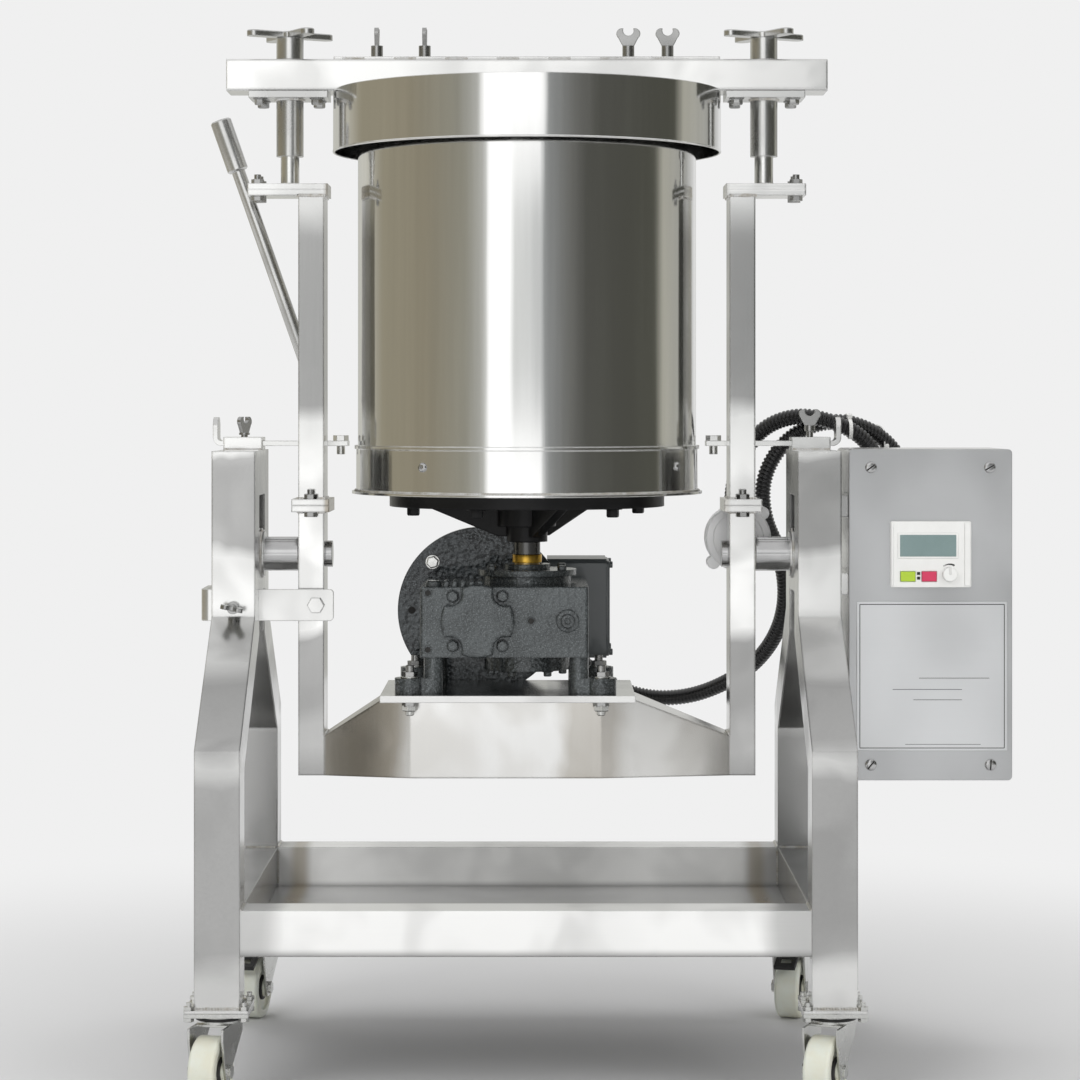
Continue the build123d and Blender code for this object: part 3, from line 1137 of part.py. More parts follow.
def column_sleeve(side):
    """Guide sleeve with flange plate under the beam, and the head tube above it."""
    x = side * COLUMN_X
    half = FLANGE_WIDTH / 2
    depth = BRIDGE_DEPTH / 2
    plate_low = BRIDGE_BOTTOM - FLANGE_PLATE
    lower = upright_rod(x, 0, SLEEVE_BOTTOM, plate_low, SLEEVE_RADIUS)
    lower += block((x - half, x + half), (-depth, depth), (plate_low, BRIDGE_BOTTOM))
    lower -= upright_rod(x, 0, SLEEVE_BOTTOM, BRIDGE_BOTTOM, COLUMN_RADIUS + RUNNING)
    upper = upright_rod(x, 0, BRIDGE_TOP, HEAD_TUBE_TOP, SLEEVE_RADIUS)
    upper -= upright_rod(x, 0, BRIDGE_TOP, HEAD_TUBE_TOP, COLUMN_RADIUS + RUNNING)
    return [lower, upper]


def lid():
    """Round lid with a deep skirt, open below, with holes for the yoke post and the wing bolts."""
    under = BRIDGE_BOTTOM - LID_WALL
    inner = LID_RADIUS - LID_WALL
    hem = BRIDGE_BOTTOM - LID_HEIGHT
    cover = turned([
        (YOKE_POST_RADIUS, under), (inner, under), (inner, hem), (LID_RADIUS, hem),
        (LID_RADIUS, BRIDGE_BOTTOM), (YOKE_POST_RADIUS, BRIDGE_BOTTOM),
    ])
    for x in WING_BOLT_X:
        cover -= upright_rod(x, 0, under, BRIDGE_BOTTOM, WING_THREAD_RADIUS + RUNNING)
    return cover


def roller_yoke():
    """Post under the beam with the rollers' axle, its washers and spacers, and a wall scraper."""
    yoke = upright_rod(0, 0, ROLLER_Z - YOKE_TAIL, BRIDGE_BOTTOM, YOKE_POST_RADIUS)
    end = ROLLER_OUTER + CLEAR + WASHER_THICK
    yoke += cross_rod(-end, end, 0, ROLLER_Z, AXLE_RADIUS)
    spacer = ROLLER_INNER - CLEAR
    yoke += cross_rod(-spacer, spacer, 0, ROLLER_Z, AXLE_RADIUS * 1.3)
    for side in (-1, 1):
        washer_x = (side * (ROLLER_OUTER + CLEAR), side * end)
        yoke += cross_rod(*washer_x, 0, ROLLER_Z, AXLE_RADIUS * 1.6)
    wall = DRUM_RADIUS - DRUM_WALL - SCRAPER_GAP
    top = STONE_TOP + SCRAPER_RISE
    half = SCRAPER_WIDTH / 2
    yoke += block((-half, half), (wall - SCRAPER_THICK, wall), (STONE_TOP + SCRAPER_GAP, top))
    return yoke + block((-half / 2, half / 2), (0, wall), (top - SCRAPER_WIDTH, top))


def roller_stone(side):
    """Cylindrical roller stone with rounded edges, bored for the axle."""
    stone = cross_rod(side * ROLLER_INNER, side * ROLLER_OUTER, 0, ROLLER_Z, ROLLER_RADIUS)
    stone = fillet(stone.edges().filter_by(GeomType.CIRCLE), ROLLER_EDGE)
    return stone - cross_rod(side * ROLLER_INNER, side * ROLLER_OUTER, 0, ROLLER_Z, AXLE_RADIUS + RUNNING)


def handwheel(side):
    """Flat four-arm cross on a spigot that turns in the head tube."""
    low = HEAD_TUBE_TOP + CLEAR
    reach = (HANDWHEEL_SPAN - HANDWHEEL_ARM) / 2
    cross = Circle(HANDWHEEL_ARM * 0.9)
    cross += Rectangle(2 * reach, HANDWHEEL_ARM) + Rectangle(HANDWHEEL_ARM, 2 * reach)
    for x, y in ((reach, 0), (-reach, 0), (0, reach), (0, -reach)):
        cross += Pos(x, y) * Circle(HANDWHEEL_ARM / 2)
    wheel_body = extrude(cross, HANDWHEEL_THICK, dir=(0, 0, 1))
    wheel_body = chamfer(wheel_body.edges().group_by(Axis.Z)[-1], HANDWHEEL_THICK * 0.15)
    spigot = upright_rod(0, 0, BRIDGE_TOP + BRIDGE_WALL, low, COLUMN_RADIUS)
    return Pos(side * COLUMN_X, 0, 0) * Rot(0, 0, HANDWHEEL_TURN) * (Pos(0, 0, low) * wheel_body + spigot)


def wing_bolt(x, turn):
    """Wing bolt through the beam and the lid."""
    seat = STRIP_TOP + CLEAR
    top = seat + WING_STEM_LENGTH
    bolt = upright_rod(0, 0, BRIDGE_BOTTOM - 3 * LID_WALL, seat, WING_THREAD_RADIUS)
    bolt += upright_rod(0, 0, seat, top, WING_STEM_RADIUS)
    bolt += Pos(0, 0, top - WING_ROOT) * wing_plate(WING_SPAN, WING_THICK)
    return Pos(x, 0, 0) * Rot(0, 0, turn) * bolt


# Conduits
def bend_radii(route):
    """Radius of each bend of a route, as large as its two runs allow."""
    points = [Vector(*point) for point in route]
    radii = []
    for before, here, after in zip(points, points[1:], points[2:]):
        coming = here - before
        going = after - here
        half_turn = math.radians(coming.get_angle(going)) / 2
        radii.append(BEND_SHARE * min(coming.length, going.length) / math.tan(half_turn))
    return radii


def conduit(name, route, ribs):
    """Corrugated hose along a route: a ruled loft through four circles for each rib, and its bore."""
    radii = bend_radii(route)
    path = FilletPolyline(*route, radius=radii)
    pitch = path.length / ribs
    x_dir = Vector(1, 0, 0)
    sections = []
    stations = [(step + share, radius) for step in range(ribs) for share, radius in RIB_PROFILE]
    for station, radius in stations + [(ribs, CONDUIT_ROOT_RADIUS)]:
        point = path.position_at(station * pitch, position_mode=PositionMode.LENGTH)
        tangent = path.tangent_at(station * pitch, position_mode=PositionMode.LENGTH)
        x_dir = (x_dir - tangent * x_dir.dot(tangent)).normalized()
        sections.append(Plane(point, x_dir=x_dir, z_dir=tangent) * Circle(radius))
    bore_face = Plane(path @ 0, x_dir=Vector(1, 0, 0), z_dir=path % 0) * Circle(CONDUIT_BORE_RADIUS)
    bore = sweep(bore_face, path)
    hose = loft([section.face() for section in sections], ruled=True) - bore
    bore_share = bore.volume / (math.pi * CONDUIT_BORE_RADIUS ** 2 * path.length)
    print(name, "length", round(path.length, 1), "bend radii", [round(radius) for radius in radii])
    print(name, "bore volume over section times length", round(bore_share, 4))
    print(name, "hose volume", round(hose.volume))
    return hose


# Every node of the assembly
def casters():
    """Forks, wheels and brake pedals at the four feet, by node name."""
    nodes = {}
    for name, (x, y, yaw, braked) in CASTER_PLACES.items():
        place = Pos(x, y, 0) * Rot(0, 0, -yaw)
        nodes["caster_fork_" + name] = [place * piece for piece in fork(braked)]
        nodes["caster_wheel_" + name] = [place * wheel()]
        if braked:
            nodes["brake_pedal_" + name] = [place * brake_pedal()]
    return nodes


def assembly():
    """All nodes by name, each a list of solids."""
    glands = [place * gland(GLAND_BORE_RADIUS) for place in gland_places()]
    feet = [(x, y) for x, y, _, _ in CASTER_PLACES.values()]
    latch_screws = [
        Pos(x, LATCH_Y, LATCH_TOP) * Rot(0, 0, turn) * latch_screw(length)
        for x, turn, length in zip(
            (-STAND_X, STAND_X), LATCH_SCREW_TURNS, (SHORT_SCREW_LENGTH, LATCH_SCREW_LENGTH),
        )
    ]
    nodes = {
        "left_side_frame": [left_side_frame()],
        "right_side_frame": [side_frame(1)],
        "cross_rails": [cross_rail(-1), cross_rail(1), tray()],
        "bearing_blocks": mirrored_pair(bearing_block),
        "control_box": [control_box()],
        "control_panel": [control_panel()],
        "keypad": [keypad()],
        "start_button": [push_button(BUTTON_OFFSETS[0])],
        "stop_button": [push_button(BUTTON_OFFSETS[1])],
        "speed_knob": [speed_knob()],
        "cable_glands": glands,
        "caster_plates": [caster_plate(*place) for place in feet],
        "caster_bolts": caster_bolts(),
        "latch_bar_left": [latch_bar(-1)],
        "latch_bar_right": [latch_bar(1)],
        "stop_bar": [stop_bar()],
        "latch_screw_left": [latch_screws[0]],
        "latch_screw_right": [latch_screws[1]],
        "stop_screw": [stop_screw()],
        "lower_frame": [lower_frame()],
        "upper_uprights": mirrored_pair(upper_upright) + mirrored_pair(column_rod),
        "trunnion_shafts": mirrored_pair(trunnion),
        "cradle_bolts": cradle_bolts(),
        "tilt_lever": [tilt_lever()],
        "motor_plate": [motor_plate()],
        "gearbox_housing": [gearbox_housing()],
        "gearbox_covers": [worm_cover(), base_cover()],
        "motor_frame": [motor_frame()],
        "fan_cover": [fan_cover()],
        "terminal_box": [terminal_box()],
        "junction_box": [junction_box()],
        "worm_shaft": worm_shaft(),
        "worm_wheel": [worm_wheel()],
        "drum_shell": [drum_shell(), drum_band()],
        "drum_hub": [drum_hub()],
        "base_stone": [base_stone()],
        "bridge_beam": [bridge_beam()],
        "column_sleeves": column_sleeve(-1) + column_sleeve(1),
        "lid": [lid()],
        "roller_yoke": [roller_yoke()],
        "roller_stone_left": [roller_stone(-1)],
        "roller_stone_right": [roller_stone(1)],
        "handwheel_left": [handwheel(-1)],
        "handwheel_right": [handwheel(1)],
        "motor_conduit": [conduit("motor_conduit", MOTOR_CONDUIT_ROUTE, MOTOR_CONDUIT_RIBS)],
        "junction_conduit": [conduit("junction_conduit", JUNCTION_CONDUIT_ROUTE, JUNCTION_CONDUIT_RIBS)],
    }
    for number, (x, turn) in enumerate(zip(WING_BOLT_X, WING_BOLT_TURN), start=1):
        nodes[f"wing_bolt_{number}"] = [wing_bolt(x, turn)]
    nodes.update(casters())
    return nodes


def write_parts():
    """One file for each node."""
    os.makedirs("parts", exist_ok=True)
    for name, pieces in assembly().items():
        solids = [solid for piece in pieces for solid in piece.solids()]
        shape = solids[0] if len(solids) == 1 else Compound(children=solids)
        shape.label = name
        export_step(shape, os.path.join("parts", name + ".step"))


write_parts()
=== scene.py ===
import json
import math

import bmesh
import bpy
from bpy.props import FloatProperty, FloatVectorProperty, PointerProperty
from mathutils import Matrix, Vector, noise


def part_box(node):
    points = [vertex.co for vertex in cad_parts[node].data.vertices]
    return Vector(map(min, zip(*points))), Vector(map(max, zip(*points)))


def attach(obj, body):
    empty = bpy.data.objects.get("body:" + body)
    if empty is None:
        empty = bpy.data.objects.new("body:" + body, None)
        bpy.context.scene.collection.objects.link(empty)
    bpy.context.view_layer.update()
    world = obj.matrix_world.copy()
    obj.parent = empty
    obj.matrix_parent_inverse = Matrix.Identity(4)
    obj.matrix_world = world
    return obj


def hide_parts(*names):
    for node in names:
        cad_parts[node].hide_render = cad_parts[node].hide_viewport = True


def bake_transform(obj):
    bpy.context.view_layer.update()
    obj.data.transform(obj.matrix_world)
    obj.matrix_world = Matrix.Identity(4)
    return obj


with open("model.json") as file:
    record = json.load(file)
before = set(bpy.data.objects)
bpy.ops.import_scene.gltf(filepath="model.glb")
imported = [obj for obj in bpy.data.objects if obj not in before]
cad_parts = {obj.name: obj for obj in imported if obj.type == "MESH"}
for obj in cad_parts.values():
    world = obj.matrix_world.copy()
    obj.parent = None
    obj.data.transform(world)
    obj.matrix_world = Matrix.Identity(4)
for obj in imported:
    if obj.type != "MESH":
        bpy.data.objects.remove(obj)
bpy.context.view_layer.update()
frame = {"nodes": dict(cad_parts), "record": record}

bl_info = {
    "name": "Chocolate melanger dressing",
    "version": (1, 0, 0),
    "blender": (4, 5, 0),
    "location": "View3D > Sidebar > Melanger",
    "description": "Finishes, conduits, fasteners, welds and studio of a tilting chocolate melanger",
    "category": "Object",
}

SLOTS = {entry["slot"]: entry for entry in frame["record"]["materials"]}
JOINTS = {joint["name"]: joint for joint in frame["record"]["behaviour"]["joints"]}
CORNERS = ("front_left", "front_right", "rear_left", "rear_right")
SIDES = (-1, 1)
MM = 0.001
X = Vector((1, 0, 0))
Y = Vector((0, 1, 0))
Z = Vector((0, 0, 1))

# Places on the solids that welds and trim meet, in millimetres.
LEG_X, LEG_Y, LEG_HALF = 336, 235, 25   # middle of a leg at the floor, half its width
LEG_SEAM, RAIL_SEAM, GUIDE_SEAM = 23, 24, 22  # half lengths of the welds on legs, rails and latch guides
PAD_Z = 103                             # top of the foot pads
RAIL_Z, RAIL_MARGIN = (160, 210), 4     # underside and top of the rails, ends of an upright weld between
HEAD_Y = 34                             # inner face of the legs at the head
BEARING_Z = (543.5, 612.5)              # underside and top of the bearing blocks
FLANGE_RADIUS = 26.5                    # bearing flange
CAP_Z, GUIDE_Y = 707, (26.2, 63.8)      # top of the head caps, sides of the latch guides
TRUNNION_Z, TRUNNION_RADIUS = 585.5, 20
UPRIGHT_X, UPRIGHT_HALF = (236, 266), 30
BEAM_END_Z, BEAM_END_SEAM = 375, 28     # top of the lower beam at its ends, half its weld
PLATE_Z, PLATE_SEAM_Y = 421, -58        # underside of the motor plate, front of the beam below it
SPLICE_Z = (635.7, 650.7)               # underside and top of the splice plates
ARM_Z = (1004, 1018)                    # underside and top of the arms
LEVER_X, LEVER_Z = (-261, -241), (762, 834)
COLUMN_X, COLUMN_RADIUS, SLEEVE_RADIUS = 278, 11, 16
BRIDGE_Z, STRIP_HALF = (1118, 1163), 27  # underside of the flange plates, top of the bridge beam
BAND_RADIUS, BAND_FOOT_Z, BAND_SCREW_Z = 200, 660.3, 690
HUB_BOLT_RADIUS, HUB_Z = 137, 642       # bolts under the disc of the hub
HOUSING_FRONT, HOUSING_TOP, OUTPUT_Z, BASE_Z = -90, 551, 568, 451
RIB_Y = -66
FOOT_X, FOOT_Y, FOOT_Z, NUT_Z = (-134, 85.5), (-77, 70), 447, 415.5
MOTOR_FLANGE_Y, MOTOR_BOLT_RADIUS = 92, 82
PANEL_FRONT, PLATE_FRONT, KEYPAD_FRONT = -60, -61, -66

# Control points of the conduits, in metres: the route of each hose from its moving end to the control box.
MOTOR_ROUTE = (
    (0.042, 0.242, 0.480), (0.042, 0.287, 0.480), (0.048, 0.329, 0.462), (0.067, 0.360, 0.430),
    (0.101, 0.373, 0.399), (0.148, 0.371, 0.381), (0.198, 0.358, 0.381), (0.243, 0.333, 0.397),
    (0.288, 0.294, 0.429), (0.316, 0.256, 0.474), (0.324, 0.228, 0.525), (0.313, 0.208, 0.578),
    (0.292, 0.194, 0.621), (0.290, 0.191, 0.669), (0.313, 0.186, 0.712), (0.353, 0.189, 0.738),
    (0.402, 0.191, 0.740), (0.448, 0.204, 0.716), (0.473, 0.213, 0.673), (0.473, 0.217, 0.613),
    (0.474, 0.194, 0.569), (0.474, 0.152, 0.544), (0.474, 0.104, 0.544),
)
JUNCTION_ROUTE = (
    (0.251, 0.103, 0.606), (0.251, 0.142, 0.606), (0.252, 0.178, 0.625), (0.254, 0.201, 0.660),
    (0.267, 0.206, 0.700), (0.292, 0.194, 0.733), (0.330, 0.175, 0.748), (0.370, 0.164, 0.742),
    (0.412, 0.172, 0.723), (0.436, 0.189, 0.688), (0.438, 0.208, 0.652), (0.436, 0.209, 0.611),
    (0.434, 0.188, 0.570), (0.434, 0.147, 0.546), (0.434, 0.104, 0.546),
)
# One rib of a hose, as (share of the pitch, share of the outer radius).
RIB = ((0.0, 0.85), (0.16, 0.87), (0.30, 0.97), (0.42, 1.0), (0.60, 1.0), (0.74, 0.97), (0.88, 0.87))
# Cable ties: their places along X and the height above which both hoses run there, in metres.
TIE_X, TIE_ABOVE = (0.396, 0.431), 0.66
# Radius of a weld through one ripple, as shares of its leg, and how far and how often it wanders.
BEAD_SWELL, BEAD_WANDER, BEAD_GRAIN = (0.48, 0.60, 0.64, 0.55), 0.08, 170


# Settings
def size(name, text, default):
    """A length in metres that a user may change."""
    return FloatProperty(name=name, description=text, default=default, min=0.0, unit="LENGTH", precision=4)


def share(name, text, default):
    """A plain number that a user may change."""
    return FloatProperty(name=name, description=text, default=default, min=0.0, precision=3)


def colour(name, text, default):
    """A colour that a user may change; a slot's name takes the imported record's colour."""
    value = SLOTS[default]["base_color"] if isinstance(default, str) else default
    return FloatVectorProperty(
        name=name, description=text, default=tuple(value)[:3], subtype="COLOR", min=0.0, max=1.0)


class MelangerSizes(bpy.types.PropertyGroup):
    """Sizes of the pieces that dress the solids."""

    conduit: size("Conduit", "Outer diameter of the corrugated hoses", 0.020)
    rib_pitch: size("Rib pitch", "Distance between two ribs of a hose", 0.0050)
    weld: size("Weld", "Leg length of the fillet welds", 0.0035)
    ripple: size("Weld ripple", "Distance between two ripples of a weld", 0.0032)
    edge: size("Edge", "Rounding of the edges of tube and plate", 0.0030)


class MelangerColours(bpy.types.PropertyGroup):
    """Colours of the finishes."""

    sheet: colour("Drum sheet", "Polished sheet of drum and lid", "polished_steel")
    tube: colour("Ground steel", "Welded tube and plate", "brushed_steel")
    panel: colour("Panel", "Brushed front panel", "panel_aluminium")
    zinc: colour("Zinc", "Plated casters and bolts", "zinc_steel")
    enamel: colour("Enamel", "Black casting under the drum", "black_casting")
    hammer: colour("Hammered paint", "Gear housing and terminal box", "grey_casting")
    motor: colour("Motor paint", "Motor and fan cover", "motor_paint")
    shaft: colour("Shaft steel", "Turned shafts", "shaft_steel")
    bronze: colour("Bronze", "Worm wheel", "bronze")
    brass: colour("Brass", "Thrust ring", (0.76, 0.47, 0.08))
    granite: colour("Granite", "Grinding stones", "granite")
    nylon: colour("Nylon", "Caster wheels", "white_nylon")
    black: colour("Black plastic", "Brake pedals and seals", "black_plastic")
    hose: colour("Hose", "Corrugated conduits", "conduit_plastic")
    grey: colour("Grey plastic", "Junction box and glands", "grey_plastic")
    white: colour("White plastic", "Keypad and cable ties", "white_plastic")
    green: colour("Start button", "Start button", "green_plastic")
    red: colour("Stop button", "Stop button", "red_plastic")


class MelangerStudio(bpy.types.PropertyGroup):
    """Camera and backdrop."""

    distance: size("Camera distance", "Camera to the drum axis", 3.521)
    height: size("Camera height", "Camera above the floor", 0.760)
    offset: size("Camera offset", "Camera to the right of the drum axis", 0.0153)
    lens: share("Lens", "Focal length in millimetres", 100.0)
    drop: share("Frame drop", "Share of the frame that the view is shifted down", 0.125)
    backdrop: share("Backdrop", "Brightness of the backdrop", 0.871)


# Shader nodes
class Value:
    """Output socket of a finish; Python's operators on it add Math nodes."""

    def __init__(self, finish, socket):
        self.finish = finish
        self.socket = socket

    def maths(self, operation, *values):
        return self.finish.node("Math", {"operation": operation}, dict(enumerate(values)))

    def __add__(self, other):
        return self.maths("ADD", self, other)

    def __radd__(self, other):
        return self.maths("ADD", other, self)

    def __sub__(self, other):
        return self.maths("SUBTRACT", self, other)

    def __rsub__(self, other):
        return self.maths("SUBTRACT", other, self)

    def __mul__(self, other):
        return self.maths("MULTIPLY", self, other)

    def __rmul__(self, other):
        return self.maths("MULTIPLY", other, self)

    def __truediv__(self, other):
        return self.maths("DIVIDE", self, other)

    def size(self):
        """The value without its sign."""
        return self.maths("ABSOLUTE", self)

    def smooth(self, low, high):
        """0 below low, 1 above high and a soft step between."""
        inputs = {"Value": self, "From Min": low, "From Max": high}
        return self.finish.node("MapRange", {"interpolation_type": "SMOOTHSTEP"}, inputs)


class Finish:
    """Node tree of a material, or of the world, and the calls that fill it."""

    # A run along an axis starts this far below zero and is this long; its stops sway. In metres.
    RUN_LEAD = 0.6
    RUN_LENGTH = 2
    RUN_SWAY = 0.05

    def __init__(self, name, owner=None):
        self.owner = owner or bpy.data.materials.new(name)
        self.owner.use_nodes = True
        self.tree = self.owner.node_tree
        self.tree.nodes.clear()

    def node(self, kind, settings=None, inputs=None, output=0):
        """Add a node, set it, feed its sockets and return one of its outputs."""
        made = self.tree.nodes.new("ShaderNode" + kind)
        for key, value in (settings or {}).items():
            if key == "stops":
                self.set_stops(made.color_ramp, value)
            else:
                setattr(made, key, value)
        for key, value in (inputs or {}).items():
            if isinstance(value, Value):
                self.tree.links.new(value.socket, made.inputs[key])
            else:
                made.inputs[key].default_value = value
        return Value(self, made.outputs[output]) if made.outputs else made

    @staticmethod
    def set_stops(ramp, stops):
        for index, (place, tone) in enumerate(stops):
            stop = ramp.elements[index] if index < 2 else ramp.elements.new(place)
            stop.position = place
            stop.color = tuple(tone) + (1.0,)

    def place(self, scale=(1, 1, 1)):
        """Position on the piece in metres, stretched along each axis."""
        inputs = {0: self.node("TexCoord", output="Object"), 1: scale}
        return self.node("VectorMath", {"operation": "MULTIPLY"}, inputs)

    def place_along(self, axis):
        """Position on the piece in metres along one axis."""
        return self.node("SeparateXYZ", {}, {"Vector": self.node("TexCoord", output="Object")}, axis)

    def noise(self, scale, detail=2.0, rough=0.5, stretch=(1, 1, 1), warp=0.0):
        inputs = {"Vector": self.place(stretch), "Scale": scale}
        inputs.update({"Detail": detail, "Roughness": rough, "Distortion": warp})
        return self.node("TexNoise", {}, inputs)

    def cells(self, scale, feature="F1", output=0):
        return self.node("TexVoronoi", {"feature": feature}, {"Vector": self.place(), "Scale": scale}, output)

    def cell_tones(self, scale):
        """A grey of its own for each cell."""
        return self.node("SeparateColor", {}, {"Color": self.cells(scale, output="Color")})

    def run(self, axis, stops, sway):
        """Grey that changes along an axis, by (metres, grey) stops whose places sway a little."""
        marks = [((metres + self.RUN_LEAD) / self.RUN_LENGTH, (grey, grey, grey)) for metres, grey in stops]
        along = self.place_along(axis) + (sway - 0.5) * self.RUN_SWAY + self.RUN_LEAD
        return self.node("ValToRGB", {"stops": marks}, {"Fac": along / self.RUN_LENGTH})

    def mix(self, factor, first, second):
        """Blend of two colours."""
        inputs = {0: factor, 6: full(first), 7: full(second)}
        return self.node("Mix", {"data_type": "RGBA"}, inputs, 2)

    def tones(self, factor, tone, dark, light):
        """Blend of a darker and a lighter form of one colour."""
        return self.mix(factor, shade(tone, dark), shade(tone, light))

    def bump(self, height, edge=None):
        """Normal of a surface whose relief is given in metres; edge rounds the corners."""
        inputs = {"Height": height, "Distance": 1.0}
        if edge:
            inputs["Normal"] = self.node("Bevel", {"samples": 4}, {"Radius": edge})
        return self.node("Bump", {}, inputs)

    def surface(self, **sockets):
        inputs = {key.replace("_", " "): value for key, value in sockets.items()}
        shader = self.node("BsdfPrincipled", {}, inputs)
        self.node("OutputMaterial", {}, {"Surface": shader})
        return self.owner


def full(tone):
    """A colour with its alpha; a socket as it is."""
    return tone if isinstance(tone, Value) else (*tone, 1.0)


def shade(tone, factor):
    """A colour made lighter or darker."""
    return tuple(min(1.0, channel * factor) for channel in tone)


def tinted(colours, tone):
    """Colour of a (setting, factor) pair."""
    setting, factor = tone
    return shade(getattr(colours, setting), factor)


# Finishes: each fills an empty Finish from the colours and sizes of the settings.
def polished_sheet(f, colours, sizes):
    """Rolled sheet with upright polishing lines, faint clouds and wiped streaks."""
    lines = f.noise(1.0, 3.0, 0.6, (900, 900, 9))
    streaks = f.noise(1.0, 3.0, 0.55, (34, 34, 1.1))
    clouds = f.noise(5.0, 2.0, 0.5)
    relief = lines * (0.003 * MM) + streaks * (0.15 * MM) + clouds * (0.4 * MM)
    return f.surface(
        Base_Color=f.tones(streaks.smooth(0.3, 0.75), colours.sheet, 0.98, 1.10),
        Metallic=1.0,
        Roughness=0.07 + 0.05 * streaks.smooth(0.35, 0.8) + 0.03 * lines,
        Normal=f.bump(relief, sizes.edge / 2),
    )


# Painted reflection as bands along the tubes, as (metres, grey): height for the stand and the cradle, X for
# the level pieces.
STAND_REFLECTION_BANDS = (
    (0.105, 1.0), (0.138, 0.95), (0.166, 0.42), (0.205, 0.36), (0.300, 0.32), (0.345, 0.34), (0.366, 0.80),
    (0.388, 0.34), (0.450, 0.26), (0.468, 0.72), (0.512, 0.66), (0.528, 1.0), (0.590, 0.95), (0.602, 0.32),
    (0.696, 0.28), (0.704, 0.95),
)
CRADLE_REFLECTION_BANDS = (
    (0.330, 0.30), (0.360, 0.50), (0.385, 0.45), (0.410, 0.24), (0.486, 0.24), (0.500, 1.0), (0.745, 1.0),
    (0.765, 0.26), (0.960, 0.30), (0.980, 0.62), (0.998, 0.95),
)
YOKE_REFLECTION_BANDS = (
    (-0.236, 0.30), (-0.200, 0.16), (-0.150, 0.24), (-0.130, 0.95), (0.030, 1.0), (0.046, 0.50),
    (0.095, 0.46), (0.115, 0.86), (0.236, 0.74),
)
RAIL_REFLECTION_BANDS = (
    (-0.311, 0.44), (-0.284, 0.48), (-0.262, 1.0), (-0.120, 0.95), (-0.020, 1.0), (0.060, 0.84),
    (0.140, 0.98), (0.262, 1.0), (0.284, 0.50), (0.311, 0.44),
)
BEAM_REFLECTION_BANDS = (
    (-0.350, 1.0), (-0.230, 0.90), (-0.120, 0.84), (0.040, 0.80), (0.190, 0.86), (0.260, 0.72), (0.330, 0.80),
)
EVEN_GREY = ((-0.5, 0.82), (1.3, 0.82))
# Warm dark grey: the dark end of the painted reflection on the yoke, and the heat tint by the rail welds.
WARM_REFLECTION_AND_HEAT_TINT = (0.27, 0.23, 0.165)

# Soft limits, in metres: inner faces of the uprights, tray below its rails (painted darker there as painted
# shade), and the rails at the back.
UPRIGHT_FACE = (0.232, 0.238)
TRAY_FLOOR = (0.157, 0.170)
BACK_RAIL = (0.10, 0.20)
# Heat tint by the welds of the rails: where it starts and ends along X, and where it starts along Y.
TINT_START, TINT_END, TINT_FRONT = (0.266, 0.280), (0.286, 0.300), (0.0, 0.1)


def ground_steel(
    f, colours, sizes, stretch, wave=1.0, rough=0.18, tone=("tube", 1.0), ease=1, axis="Z",
    polish=EVEN_GREY, metal=1.0, yoke=None, tray=None,
):
    """Stainless tube and plate, buffed by hand: fine lines, soft waves, duller patches and painted reflection
    in lighter and darker lengths.
    """
    tone = tinted(colours, tone)
    lines = f.noise(1.0, 3.0, 0.65, stretch)
    patches = f.noise(11.0, 2.0, 0.45, warp=0.4)
    waves = f.noise(5.5, 1.0, 0.4)
    relief = lines * (0.003 * MM) + waves * (wave * MM)
    dull = patches.smooth(0.42, 0.64)
    # Painted reflection: lighter and darker bands of grey along the axis.
    length = f.run(axis, polish, patches)
    dark = shade(tone, 0.30)
    if yoke:
        # On the yoke the painted reflection runs along X, and its dark end is warm.
        outside = f.place_along("X").size().smooth(*UPRIGHT_FACE)
        length = outside * length + (1 - outside) * f.run("X", yoke, patches)
        dark = f.mix(outside, WARM_REFLECTION_AND_HEAT_TINT, dark)
    bright = length * (1 - 0.22 * dull) + 0.06 * lines
    if tray:
        ends, depth = f.place_along("X").size(), f.place_along("Y")
        heat = ends.smooth(*TINT_START) * (1 - ends.smooth(*TINT_END)) * depth.smooth(*TINT_FRONT)
        dark = f.mix(heat, dark, WARM_REFLECTION_AND_HEAT_TINT)
        # Painted shade on the tray below the rails; the heat tint by the welds is darker too.
        bright = bright * f.place_along("Z").smooth(*tray) * (1 - 0.5 * heat)
        metal = metal * (1 - depth.smooth(*BACK_RAIL))
    return f.surface(
        Base_Color=f.mix(bright, dark, shade(tone, 1.16)),
        Metallic=metal,
        Roughness=rough + 0.06 * dull + 0.04 * lines,
        Normal=f.bump(relief, sizes.edge / ease),
    )


def brushed_sheet(f, colours, sizes, dark, light):
    """Sheet with long level brushing lines, a painted slanting sheen and faint finger marks."""
    lines = f.noise(1.0, 4.0, 0.7, (10, 300, 1500))
    painted_sheen = f.noise(1.0, 1.0, 0.4, (9, 3, 6))
    marks = f.noise(16.0, 3.0, 0.5, warp=0.8)
    # Painted sheen: lighter slanting bands in the colour.
    bright = painted_sheen.smooth(0.3, 0.7) * 0.65 + marks * 0.2 + lines * 0.15
    return f.surface(
        Base_Color=f.tones(bright, colours.panel, dark, light),
        Metallic=0.85,
        Roughness=0.30 + 0.10 * lines + 0.06 * marks.smooth(0.4, 0.7),
        Normal=f.bump(lines * (0.02 * MM), sizes.edge / 2),
    )


def zinc_plate(f, colours, sizes):
    """Bright zinc, finely spangled and scuffed."""
    spangle = f.cell_tones(420.0)
    scuffs = f.noise(60.0, 4.0, 0.6, warp=0.4)
    plain = (colours.zinc[0] * 1.01, colours.zinc[1], colours.zinc[2] * 0.96)
    return f.surface(
        Base_Color=f.tones(spangle * 0.3 + scuffs * 0.7, plain, 0.86, 1.16),
        Metallic=1.0,
        Roughness=0.17 + 0.13 * scuffs.smooth(0.35, 0.7),
        Normal=f.bump(scuffs * (0.03 * MM), sizes.edge / 3),
    )


